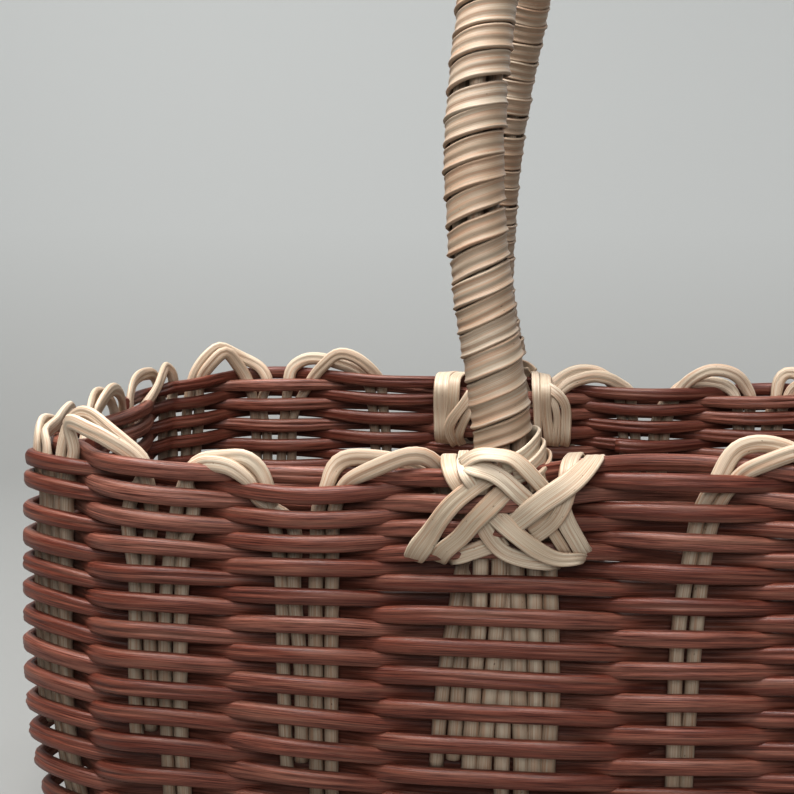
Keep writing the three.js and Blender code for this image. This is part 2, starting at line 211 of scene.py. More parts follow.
def on_wall(distance, depth, height):
    """Points at a distance round the wall, a depth outside the middle of its thickness, and a height."""
    values = [np.asarray(v, float) for v in (distance, depth, height)]
    distance, depth, height = np.broadcast_arrays(*values)
    x, y, heading = wall_plan(distance)
    out = depth - wall_inset(height) + corner_push(distance)
    return np.stack([x + out * np.sin(heading), y - out * np.cos(heading), height], -1)


# %% [markdown]
# A strand
#
# A rod or a strip of cane is one closed outline all along its length. Blender's curves with a bevel object
# could carry such an outline, but its size, twist and creases couldn't change from step to step. So the
# outline is set square to the path at each step by numpy, with its first axis on the side that faces out.
# Length and girth go into a UV map in metres, so that fibres can run along the rod however it bends.

# %% Carry an outline along a path
def carry(path, out, profile, closed):
    """Vertices (steps, corners, 3): path + out * p + side * q for each corner (p, q) of the outline, where
    out is made square to the path's direction and side = direction x out."""
    ahead = np.roll(path, -1, 0) - np.roll(path, 1, 0)
    if not closed:
        ahead[0] = path[1] - path[0]
        ahead[-1] = path[-1] - path[-2]
    ahead = ahead / np.linalg.norm(ahead, axis=1, keepdims=True)
    out = out - ahead * np.sum(out * ahead, 1, keepdims=True)
    out = out / np.linalg.norm(out, axis=1, keepdims=True)
    side = np.cross(ahead, out)
    profile = np.broadcast_to(profile, (len(path),) + np.shape(profile)[-2:])
    return path[:, None] + out[:, None] * profile[..., :1] + side[:, None] * profile[..., 1:]


def strand(path, out, profile, closed=False, tone=0.5, shift=0.0):
    """One strand: its vertices, whether it closes on itself, its tone and its place along the grain."""
    return {"points": carry(path, out, profile, closed), "closed": closed, "tone": tone, "shift": shift}


# %% Outlines of rods and of cane
RIDGE = 0.03
CROWN = 0.85
CROWN_FALL = 0.6
BACK_LEVEL = -0.15
TROUGHS = ((-0.44, 0.22, 0.3), (0.36, 0.26, 0.26))
LIPS = ((0.82, 1.0), (-0.84, 0.8))
LIP_WIDTH = 0.13


def rod_profile(depth, height, sides, twist, square):
    """A rod: depth cos^s a outwards and height sin^s a sideways, with three and seven low ridges
    that turn with the twist. Sizes and twist may differ from step to step."""
    angle = 2 * np.pi * np.arange(sides) / sides
    values = [np.asarray(v, float)[..., None] for v in (depth, height, twist)]
    depth, height, twist = np.broadcast_arrays(*values)
    ridged = 1 + RIDGE * np.cos(3 * angle + twist) + 0.6 * RIDGE * np.cos(7 * angle - 2 * twist)
    c, s = np.cos(angle), np.sin(angle)
    out = depth * np.sign(c) * np.abs(c) ** square * ridged
    side = height * np.sign(s) * np.abs(s) ** square * ridged
    return np.stack([out, side], -1)


def flat_rod(depth, height, creases, square=2.5):
    """A flattened rod: depth (1 - |t|^n)^(1/n) on both faces, with t from -1 to 1 across its height. Long
    creases are pressed into the faces, each with its place in t, how deep it is and how wide."""
    turn = np.linspace(-1, 1, 15)
    t = 0.5 * (turn + np.sin(np.pi * turn / 2))
    round_face = (1 - np.abs(t) ** square) ** (1 / square)
    depth, height = (np.asarray(v, float)[..., None] for v in (depth, height))
    face = depth * round_face
    for place, deep, wide in creases:
        place, deep = (np.asarray(v, float)[..., None] for v in (place, deep))
        face = face - deep * round_face * np.exp(-((t - place) / wide) ** 2)
    side = np.broadcast_to(height * t, face.shape)
    outer = np.stack([face, side], -1)
    inner = np.stack([-face, side], -1)[..., -2:0:-1, :]
    return np.concatenate([outer, inner], -2)


def cane_profile(width, thickness, tilt, lip, fold, press):
    """Flat cane with t from -1 to 1 across it: a crown CROWN - CROWN_FALL |t|^10 over a flat back, less two
    troughs e^-((t - place) / wide)^2, with a lip of that form along both edges. The tilt raises one edge,
    the troughs lie off their places by fold, and press is their depth."""
    across = np.linspace(-1, 1, 33)
    back = np.linspace(0.9, -0.9, 5)
    half, fold, tilt, press = (np.asarray(v, float)[..., None] for v in (width / 2, fold, tilt, press))
    crown = CROWN - CROWN_FALL * np.abs(across) ** 10
    for trough, deep, wide in TROUGHS:
        crown = crown - press * deep * np.exp(-((across - trough - fold) / wide) ** 2)
    for edge, high in LIPS:
        crown = crown + lip * high * np.exp(-((across - edge) / LIP_WIDTH) ** 2)
    face = np.stack([crown * thickness + tilt * across * half, across * half], -1)
    under = np.stack([BACK_LEVEL * thickness + tilt * back * half, back * half], -1)
    return np.concatenate([face, under], -2)


# %% Put strands into one mesh
def strand_faces(steps, corners, closed):
    """Where each quad has its four corners: this step and the next, this corner and the next round."""
    rows = np.arange(steps if closed else steps - 1)
    i, j = (v.ravel() for v in np.meshgrid(rows, np.arange(corners), indexing="ij"))
    return i, j, (i + 1) % steps, (j + 1) % corners


def piece(name, strands, material, replaced):
    """A mesh of several strands, with its faces outwards. Open strands get a fan of triangles at each end.
    The UV map holds length along and girth round, and the attribute tone tells the strands apart."""
    points, quads, uvs, tones, caps = [], [], [], [], []
    start = 0
    for s in strands:
        grid = s["points"] * MM
        steps, corners = grid.shape[:2]
        i, j, k, m = strand_faces(steps, corners, s["closed"])
        square = [i * corners + j, i * corners + m, k * corners + m, k * corners + j]
        quads.append(start + np.stack(square, -1))
        walked = np.linalg.norm(np.diff(grid.mean(1), axis=0), axis=1)
        along = np.concatenate([[0], np.cumsum(walked)])
        along = np.append(along, along[-1] + along[1]) + s["shift"]
        girth = np.linalg.norm(np.diff(grid[0], axis=0), axis=1).sum()
        around = np.linspace(0, girth, corners + 1)
        square = [(along[i], around[j]), (along[i], around[j + 1]),
                  (along[i + 1], around[j + 1]), (along[i + 1], around[j])]
        uvs.append(np.stack([np.stack(corner, -1) for corner in square], 1))
        points.append(grid.reshape(-1, 3))
        tone = np.asarray(s["tone"], float).reshape(-1, 1)
        tones.append(np.broadcast_to(tone, (steps, corners)).ravel())
        count = steps * corners
        if not s["closed"]:
            for ring, turn in ((0, 1), (steps - 1, -1)):
                corner = start + ring * corners + np.arange(corners)
                points.append(grid[ring].mean(0, keepdims=True))
                tones.append(tones[-1][-1:])
                middle = np.full(corners, start + count)
                caps.append(np.stack([middle, corner, np.roll(corner, turn)], -1))
                count += 1
        start += count
    caps = np.concatenate(caps) if caps else np.zeros((0, 3), int)
    mesh = write_mesh(name, np.concatenate(points), np.concatenate(quads), caps)
    flat = np.concatenate([np.concatenate(uvs).reshape(-1, 2), np.zeros((caps.size, 2))])
    mesh.uv_layers.new(name="strand").data.foreach_set("uv", flat.astype(np.float32).ravel())
    tone = mesh.attributes.new("tone", "FLOAT", "POINT")
    tone.data.foreach_set("value", np.concatenate(tones).astype(np.float32))
    mesh.update(calc_edges=True)
    mesh.validate()
    mesh.materials.append(material)
    made = bpy.data.objects.new(name, mesh)
    bpy.context.scene.collection.objects.link(made)
    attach(made, "root")
    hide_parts(*replaced)


def write_mesh(name, points, quads, caps):
    """Writes the arrays into a Blender mesh: smooth quads first, then flat triangles."""
    mesh = bpy.data.meshes.new(name)
    mesh.vertices.add(len(points))
    mesh.vertices.foreach_set("co", points.astype(np.float32).ravel())
    corners = np.concatenate([quads.ravel(), caps.ravel()])
    mesh.loops.add(len(corners))
    mesh.loops.foreach_set("vertex_index", corners.astype(np.int32))
    mesh.polygons.add(len(quads) + len(caps))
    starts = np.concatenate([4 * np.arange(len(quads)), quads.size + 3 * np.arange(len(caps))])
    mesh.polygons.foreach_set("loop_start", starts.astype(np.int32))
    smooth = np.concatenate([np.ones(len(quads), bool), np.zeros(len(caps), bool)])
    mesh.polygons.foreach_set("use_smooth", smooth)
    return mesh


# %% [markdown]
# Colours and nodes
#
# A colour picker shows sRGB, but the renderer adds and multiplies linear values, so one function turns the
# hex values that are written here into linear ones. The fibres of wood could be drawn in object space, but
# then they would cut across the rods. Noise that is drawn out along the UV map follows each rod.

# %% Colour and node helpers
WOOD_IOR = 1.5


def linear(hex_colour):
    """sRGB hex to linear: c / 12.92 below 0.04045, else ((c + 0.055) / 1.055) ^ 2.4."""
    srgb = np.array([int(hex_colour[i:i + 2], 16) / 255 for i in (1, 3, 5)])
    low = srgb / 12.92
    high = ((srgb + 0.055) / 1.055) ** 2.4
    return (*np.where(srgb <= 0.04045, low, high), 1.0)


def add_node(tree, kind, sockets=None, **settings):
    """Adds a node with its settings. A socket is given a value, or another node's output to be linked."""
    made = tree.nodes.new(kind)
    for key, value in settings.items():
        setattr(made, key, value)
    for key, value in (sockets or {}).items():
        if isinstance(value, bpy.types.NodeSocket):
            tree.links.new(value, made.inputs[key])
        else:
            made.inputs[key].default_value = value
    return made


def ramp(tree, factor, stops):
    """A colour ramp through (place, hex) stops."""
    made = add_node(tree, "ShaderNodeValToRGB", {"Fac": factor})
    band = made.color_ramp
    while len(band.elements) < len(stops):
        band.elements.new(0.5)
    for element, (place, colour) in zip(band.elements, stops):
        element.position = place
        element.color = linear(colour)
    return made.outputs["Color"]


def strand_noise(tree, length_mm, girth_mm, detail, seed=0.0):
    """Noise drawn out along the strand: one cell is length_mm long and girth_mm wide."""
    uv = add_node(tree, "ShaderNodeUVMap", uv_map="strand").outputs["UV"]
    moved = add_node(tree, "ShaderNodeMapping", {
        "Vector": uv, "Location": (seed, seed, seed),
        "Scale": (1 / (length_mm * MM), 1 / (girth_mm * MM), 1.0),
    })
    return add_node(tree, "ShaderNodeTexNoise", {
        "Vector": moved.outputs["Vector"], "Scale": 1.0, "Detail": detail, "Roughness": 0.6,
    }).outputs["Fac"]


def mixed(tree, factor, first, second):
    """The second colour over the first, by a factor."""
    return add_node(tree, "ShaderNodeMix", {0: factor, 6: first, 7: second}, data_type="RGBA").outputs[2]


def wood(name, colour_of, fibres_of, roughness, strength, relief_mm):
    """A wood whose fibres set its colour, its roughness, from low to high, and its relief. The fibres are
    given by their length and width in mm and their detail."""
    made = bpy.data.materials.new(name)
    made.use_nodes = True
    tree = made.node_tree
    shader = tree.nodes["Principled BSDF"]
    tone = add_node(tree, "ShaderNodeAttribute", attribute_name="tone").outputs["Fac"]
    fibres = strand_noise(tree, *fibres_of)
    tree.links.new(colour_of(tree, tone, fibres), shader.inputs["Base Color"])
    low, high = roughness
    rough = add_node(tree, "ShaderNodeMapRange", {"Value": fibres, "To Min": low, "To Max": high})
    tree.links.new(rough.outputs["Result"], shader.inputs["Roughness"])
    bump = add_node(tree, "ShaderNodeBump", {
        "Height": fibres, "Strength": strength, "Distance": relief_mm * MM,
    })
    tree.links.new(bump.outputs["Normal"], shader.inputs["Normal"])
    shader.inputs["IOR"].default_value = WOOD_IOR
    return made


# %% [markdown]
# Dark weavers
#
# The weavers are willow rods that were boiled in their bark and then stripped, which stains the wood a red
# brown and leaves a smooth skin. To the eye that is a dark rod with a soft shine, fine darker fibres along
# it, and paler patches where the skin is rubbed. A fibre is about 0.4 mm wide and 16 mm long. Each rod has
# its own depth of colour, which comes from the tone attribute, so one material serves all thirty rods.

# %% Boiled willow
def boiled_colour(tree, tone, fibres):
    """The rod's tone, dark in its fibres and paler in patches of 45 by 2.4 mm."""
    rod = ramp(tree, tone, [(0.0, "#5f2e22"), (0.5, "#7e4939"), (1.0, "#a27363")])
    pale_fibre = ramp(tree, fibres, [(0.34, "#383838"), (0.6, "#ffffff")])
    streaked = mixed(tree, pale_fibre, linear("#3c1006"), rod)
    worn = strand_noise(tree, length_mm=45, girth_mm=2.4, detail=2.0, seed=7.0)
    patches = ramp(tree, worn, [(0.46, "#000000"), (0.76, "#989898")])
    return mixed(tree, patches, streaked, linear("#b38a76"))


DARK = wood(
    "boiled_willow", boiled_colour, fibres_of=(16, 0.42, 4.0), roughness=(0.3, 0.5),
    strength=0.55, relief_mm=0.3,
)
print("material:", DARK.name)

# %% [markdown]
# Pale rods and cane
#
# The stakes are willow rods that were peeled and left in their straw colour, with a dull satin surface. The
# lashing and the winding are flat strips split from such rods, a little yellower. To the eye they are pale,
# finely grained, stained pink or brown here and there, and dotted with a few dark specks. The winding is
# given darker, greyer colours as painted shade, for the weaker light on the bow, and a duller finish. They
# differ in colour and shine only, so one recipe makes all.

# %% Peeled rod and flat cane
def peeled_wood(name, dark, middle, light, fibre_mm, shine):
    """Peeled wood in a tone from dark to light, with stains of 30 by 1.5 mm and specks of about a mm."""
    def colour(tree, tone, fibres):
        """The tone, darker in its fibres, then the stains over it, then the specks."""
        base = ramp(tree, tone, [(0.0, dark), (0.5, middle), (1.0, light)])
        pale_fibre = ramp(tree, fibres, [(0.32, "#646464"), (0.56, "#ffffff")])
        fine = mixed(tree, pale_fibre, linear("#a07c62"), base)
        cloudy = strand_noise(tree, length_mm=30, girth_mm=1.5, detail=1.5, seed=3.0)
        stains = ramp(tree, cloudy, [(0.5, "#000000"), (0.68, "#b4b4b4")])
        stained = mixed(tree, stains, fine, linear("#b38b70"))
        spotted = strand_noise(tree, length_mm=1.6, girth_mm=0.9, detail=0.0, seed=11.0)
        specks = ramp(tree, spotted, [(0.83, "#000000"), (0.86, "#d0d0d0")])
        return mixed(tree, specks, stained, linear("#4b3021"))

    return wood(
        name, colour, fibres_of=(40, fibre_mm, 4.0), roughness=(shine, shine + 0.15),
        strength=0.35, relief_mm=0.22,
    )


ROD = peeled_wood("peeled_rod", "#ad9d8b", "#c3b6a3", "#d9cfbf", fibre_mm=0.45, shine=0.46)
CANE = peeled_wood("flat_cane", "#ac9c88", "#c2b5a1", "#d6ccba", fibre_mm=0.5, shine=0.45)
# painted shade: a darker, greyer copy of the cane colours, for the weaker light on the bow; duller too
SHADED_WOUND = peeled_wood("wound_cane_painted_shade", "#99846f", "#ab9d8b", "#bab2a4", fibre_mm=0.5, shine=0.52)
print("materials:", ROD.name, CANE.name, SHADED_WOUND.name)

# %% [markdown]
# Stake groups
#
# Eighteen groups of stakes stand round the wall, and two of them are the ends of the bow handle. In every
# other group a pair of rods rises from the base, turns over the rim and goes down in the next group, so a
# group holds four rods. They could stand evenly, but in the real wall the two pairs part a little and lean
# near the rim: one towards the group that it is bent to, the other back. So each group has its own leans.

# %% Places of the groups
ROD_R = 2.55
STAKE_R = 2.36
WEAVER_R = 2.15
WEAVER_HEIGHT = 2.95
PAIR = 2.45
HANDLES = (0, COUNT // 2)
AFTER_HANDLES = (1, COUNT // 2 + 1)
TUCKED = np.full(COUNT, -5.3)
TUCKED[list(HANDLES)] = -17.0
OWN = np.full(COUNT, 4.5)
OWN[list(AFTER_HANDLES)] = -1.8
OWN_LEAN = np.array([0, 13.3, 6, 5, 6, 5, 4, 3, 6.5, 0, 3.8, 3, 3.5, 5, 6, 3.5, 11.5, 3.3])
TUCK_LEAN = np.array([0, 0, -4, -5, -3, -4, -4, -5, -6.4, 2, 0, -8, -3, -4, -7, -1.2, 1.6, -9])
LEAN_FADE = 22.0


def lean(amount, height):
    """A pair leans by an amount at the rim, which fades as e^-(depth below it / LEAN_FADE)."""
    return amount * np.exp(-np.clip(RIM - height, 0, None) / LEAN_FADE)


# %% [markdown]
# Where the bow's rods stand in the wall
#
# The bow is a bundle of six rods. Low in the wall they stand side by side as stakes do. Near the rim they
# step in front of one another and draw together into a round bundle, five round one, so the weavers bulge
# round them there. Two shares of the height, stacked and drawn, say how far that has gone.

# %% The bundle
HANDLE_RODS = 6
RING = 2 * ROD_R + 0.1
STACK_LOW = RIM - 29.4
STACK_HIGH = RIM - 9.6
DRAW_LOW = RIM - 26.0
GATHER = RIM + 8.0
slot_angles = np.radians([162, 90, 234, 0, 306, 18])
slot_radii = np.array([RING, RING, RING, 0, RING, RING])
SLOT_X = slot_radii * np.cos(slot_angles)
SLOT_OUT = slot_radii * np.sin(slot_angles)


def stacked(height):
    """How far the rods have stepped in front of one another."""
    return ease((height - STACK_LOW) / (STACK_HIGH - STACK_LOW))


def drawn(height):
    """How far the rods have drawn together."""
    return ease((height - DRAW_LOW) / (GATHER - DRAW_LOW))


# %% [markdown]
# Rows
#
# The rows could be level and evenly spaced, and the wall would look machine made. In the real wall they
# lie closer near the rim, and rise and dip from group to group. A table holds the heights of seven rows at
# each group, read off where the rows pass the stakes, and the rows between them are shared out evenly.

# %% Heights of the rows at each group
TABLE_ROWS = [0, 3, 6, 8, 14, 20, 29]
PLAIN_ROWS = [155.2, 143.2, 129.6, 120.4, 90.5, 58.5, 12.3]
RIM_LIFT = np.array(
    [1.4, 3.1, 1, 0, -0.5, 0, -0.5, -1.8, -3.2, 0, 1.8, 3.6, 0.4, -1.2, -1.9, 1.8, -0.5, -3.5]
)
LIFT_FADE = np.array([1, 0.55, 0.25, 0.15, 0, 0, 0])
row_table = np.array([PLAIN_ROWS] * COUNT) + RIM_LIFT[:, None] * LIFT_FADE
row_table[0] = [155.5, 143.3, 131.4, 120.1, 88.8, 54.9, 12.3]
row_table[1] = [158.3, 144.2, 130.4, 119.8, 88.9, 56.5, 12.3]
row_table[15] = [157.0, 146.2, 130.0, 121.3, 93.0, 62.0, 12.3]
row_table[16] = [154.9, 142.7, 129.4, 120.4, 91.6, 62.9, 12.3]
row_table[17] = [151.6, 139.6, 127.8, 119.4, 90.0, 58.0, 12.3]
row_heights = np.stack([np.interp(np.arange(ROWS + 1), TABLE_ROWS, line) for line in row_table])
rim_places = np.concatenate([GROUPS + t * WHOLE_WAY for t in (-1, 0, 1)])
rim_levels = np.tile(row_table[:, 0] + WEAVER_HEIGHT, 3)


def height_of_row(row, group):
    """Height of a row, which may lie between two whole rows, at a group."""
    row = np.clip(row, 0, ROWS - 1)
    low = np.floor(row).astype(int)
    return row_heights[group, low] + (row - low) * (row_heights[group, low + 1] - row_heights[group, low])


def rim_top(distance):
    """Height of the top of the wall: a bent rod through its height at each group."""
    return bent(rim_places, rim_levels, np.mod(np.atleast_1d(distance), WHOLE_WAY))


print("top row at the groups:", row_table[:, 0].min(), "to", row_table[:, 0].max().round(1), "mm high")

# %% [markdown]
# Weavers
#
# The weavers could be thirty closed rings, but a real wall is woven with two rods that chase each other
# round it. Each passes outside one group and inside the next, on the opposite side to the other, and drops
# one row along each end of the basket. So here a weaver is one spiral, cut into rods where the real ones
# are spliced. Between the places where stakes hold it, it is a bent rod in its depth and in its height.

# %% Rows and turns of a weaver
END_HALF = 58.0
QUARTER_END = HALF_WAY / 2
turns_back = range(-ROWS // 2 - 1, 2)


def rows_down(distance):
    """Rows that a weaver has dropped since the middle of an end, going clockwise: one along each end."""
    gone = (QUARTER_END - distance) / WHOLE_WAY
    whole = np.floor(gone)
    part = (gone - whole) * WHOLE_WAY
    ends = (0.0, HALF_WAY, WHOLE_WAY)
    return 2 * whole - 1 + sum(ease((part - end + END_HALF) / (2 * END_HALF)) for end in ends)


def row_of(side, distance):
    """The row of a weaver. The second weaver starts half way round from the first."""
    return rows_down(distance if side > 0 else distance + HALF_WAY)


def all_turns(places, *extra):
    """Places round the wall repeated for every turn that a weaver makes, with what belongs to each."""
    repeated = np.concatenate([places + t * WHOLE_WAY for t in turns_back])
    return repeated, *(np.tile(values, len(turns_back)) for values in extra)


group_places, group_numbers = all_turns(GROUPS, np.arange(COUNT))

# %% Where the stakes hold a weaver
CORNER_TURNS = dict(CORNER_GROUPS)
CONTACT = 5.2
SHARP_CONTACT = 3.0
# Where the bow's rods hold a weaver: how far from the bow, and whether their bundle is that thick there.
HANDLE_CONTACTS = [(-22.5, 0.0), (-9.0, 1.0), (11.0, 1.0), (20.5, 0.0)]
NEAR = 200.0
contact_list = []
for k in range(COUNT):
    if k in HANDLES:
        contacts = HANDLE_CONTACTS
    elif k in AFTER_HANDLES:
        contacts = [(OWN[k] - CONTACT, 0.0), (OWN[k] + CONTACT, 0.0)]
    else:
        before = SHARP_CONTACT if CORNER_TURNS.get(k, 0) < 0 else CONTACT
        after = SHARP_CONTACT if CORNER_TURNS.get(k, 0) > 0 else CONTACT
        contacts = [(TUCKED[k] - before, 0.0), (OWN[k] + after, 0.0)]
    contact_list += [(GROUPS[k] + along, k, bulge) for along, bulge in contacts]
hold_at, hold_group, hold_bulge = (np.array(values) for values in zip(*contact_list))
hold_places, hold_groups, hold_bulges = all_turns(hold_at, hold_group, hold_bulge)
print("a weaver is held at", len(contact_list), "places in a turn")


def is_near(places, distance):
    """Which places matter to a stretch of a weaver."""
    return (places > distance.min() - NEAR) & (places < distance.max() + NEAR)


# %% A weaver's height and depth
PASS = STAKE_R + WEAVER_R + 0.05
FRONT = np.isin(np.arange(COUNT), [15, 16, 17, 0, 1, 2])
BACK = np.isin(np.arange(COUNT), [7, 8, 9, 10, 11, 12])
SAG = 1.9
SAG_A_ROW = 0.088
SAG_GROWS = 7
SAG_ENDS = 4
LIFT_GROWS = 4
LIFT_ENDS = 20
LIFT_FADES = 8


def weaver_height(side, distance):
    """Height of a weaver: a bent rod through its row's height at each group, less a bent rod of its sag. At
    the front the passes inside the stakes were pushed down by SAG + SAG_A_ROW times the row, less in the
    first seven rows and the last four. At the back the passes outside ride up by a mm in the upper rows."""
    near = is_near(group_places, distance)
    group = group_numbers[near]
    level = bent(group_places[near], height_of_row(row_of(side, group_places[near]), group), distance)
    near = is_near(hold_places, distance)
    group, row = hold_groups[near], row_of(side, hold_places[near])
    is_inside = np.where(group % 2 == 0, 1, -1) * side < 0
    fading = ease(row / SAG_GROWS) * ease((ROWS - 1 - row) / SAG_ENDS)
    lift = ease((row + 1) / LIFT_GROWS) * ease((LIFT_ENDS - row) / LIFT_FADES)
    sag = FRONT[group] * is_inside * fading * (SAG + SAG_A_ROW * row)
    sag = sag - BACK[group] * ~is_inside * lift
    return level - bent(hold_places[near], sag, distance)


def weaver_depth(side, distance):
    """Depth of a weaver outside the wall's middle: a bent rod that stakes hold on alternate sides, PASS
    away from it, and further out where the rods of the handle stand two deep."""
    near = is_near(hold_places, distance)
    place, group = hold_places[near], hold_groups[near]
    facing = np.where(group % 2 == 0, 1.0, -1.0) * side
    level = height_of_row(row_of(side, place), group)
    reach = np.where(facing > 0, SLOT_OUT.max(), -SLOT_OUT.min())
    return bent(place, facing * (PASS + reach * hold_bulges[near] * stacked(level)), distance)


# %% Weave the wall
STEP = 2.6
SPLICE = 13.0
SPLICE_BEHIND = 4.0
LATE_START = 46.0
CLOSE_BELOW = RIM - 50
CLOSE_FADE = 20.0
THIN_END = 0.25


def splice_places(side, first):
    """Where one rod of a weaver ends and the next begins: inside the wall, behind a group of stakes."""
    wanted = first - WHOLE_WAY * np.arange(ROWS // 2 + 1)
    wanted = wanted + chance(5 + side, -300, 300, ROWS // 2 + 1)
    behind = group_places[np.where(group_numbers % 2 == 0, 1, -1) * side < 0]
    chosen = behind[np.abs(behind[:, None] - wanted).argmin(0)]
    chosen[0] = first - LATE_START
    chosen[-1] = first - WHOLE_WAY * (ROWS // 2) + LATE_START
    return chosen


def weaver(side, circuit, begin, end):
    """One rod of a weaver, laid from one splice to the next. Its thick end starts on top of the last rod's
    thin end, inside the wall. It is thinner where it crosses from side to side, but less so low in the
    wall, where the rows are packed close. Two creases wander along it."""
    seed = 100 * circuit + (1 if side > 0 else 2)
    distance = np.arange(begin + SPLICE, end - SPLICE, -STEP)
    turn = (begin - distance) / WHOLE_WAY
    height = weaver_height(side, distance) + 0.3 * wander(turn, seed, (3, 7, 13, 19))
    start = 1 - ease((distance[0] - distance) / (2.2 * SPLICE))
    finish = 1 - ease((distance - distance[-1]) / (2 * SPLICE))
    depth = weaver_depth(side, distance) - SPLICE_BEHIND * start + 0.12 * wander(turn, seed + 7)
    size = (1 + 0.05 * wander(turn, seed + 3, (1, 2, 5))) * chance(seed, 0.96, 1.04)
    size = size * (1 - THIN_END * finish)
    crossing = 1 - ease(np.abs(depth) / PASS)
    close = ease((CLOSE_BELOW - height) / CLOSE_FADE)
    tall = WEAVER_HEIGHT * size * (1 - 0.1 * crossing + 0.14 * crossing * close)
    deep = WEAVER_R * size * (1 + 0.06 * crossing)
    creases = [
        (0.12 + 0.3 * wander(turn, seed + 8, (2, 5, 9)),
         0.55 * ease(0.5 + 0.6 * wander(turn, seed + 10, (5, 9, 14))), 0.2),
        (-0.45 + 0.2 * wander(turn, seed + 12, (3, 7)),
         0.36 * ease(0.4 + 0.6 * wander(turn, seed + 14, (4, 11, 17))), 0.17),
    ]
    tone = 0.5 + 0.22 * wander(turn, seed + 5, (1, 3, 7)) + chance(seed + 9, -0.25, 0.25)
    return strand(
        on_wall(distance, depth, height), wall_out(distance), flat_rod(deep, tall, creases),
        tone=np.clip(tone, 0, 1), shift=0.37 * (seed % 13),
    )


for side, label, first in ((1, "first", QUARTER_END), (-1, "second", QUARTER_END - HALF_WAY)):
    splices = splice_places(side, first)
    for circuit in range(ROWS // 2):
        rod = weaver(side, circuit, splices[circuit], splices[circuit + 1])
        band = f"weaver_band_{ROWS // 2 - circuit:02d}"
        piece(f"{label}_weaver_{circuit + 1:02d}", [rod], DARK, [band])
print("weavers:", ROWS, "rods")

# %% [markdown]
# Stakes and the border
#
# Each stake is one long rod: up in its own group, over the rim, and down in the next group. Over the rim
# the two rods of a pair cross. The first rises steeply on the inside and comes down early, the second lies
# low on the outside and tops near its end. One rule could draw all loops alike, and it does for the five
# at the hidden end. The other eleven show, and each real loop has its own height and lean, so they are
# given as points, with a bent rod through them.

# %% Ways over the rim
STAKE_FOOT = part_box("stake_pair_01")[0].z / MM
TUCK_DEPTH = np.full(COUNT, 95.0)
TUCK_DEPTH[17] = 104.0
# Loops drawn by rule: their tops over the wall, and points of share of the length, depth, share of the top.
LOOP_TOP = {2: 7.0, 3: 8.0, 4: 9.0, 5: 8.0, 6: 8.0}
FIRST_ROD = [(0.0, 0, -5), (0.03, -0.6, 0.1), (0.1, -1.5, 0.72), (0.22, -2.3, 1.0), (0.4, -2.5, 0.84),
             (0.6, -2.3, 0.46), (0.8, -1.6, 0.05), (0.92, -0.6, -0.4), (0.98, 0, -5)]
SECOND_ROD = [(0.02, 0.2, -5), (0.08, 0.9, -0.4), (0.22, 2.0, 0.1), (0.44, 2.5, 0.5), (0.66, 2.5, 0.88),
              (0.8, 2.2, 1.0), (0.91, 1.4, 0.72), (0.97, 0.6, 0.1), (1.0, 0.1, -5)]
# Pairs whose rods change sides where they go down.
SWAPPED = (11, 14)
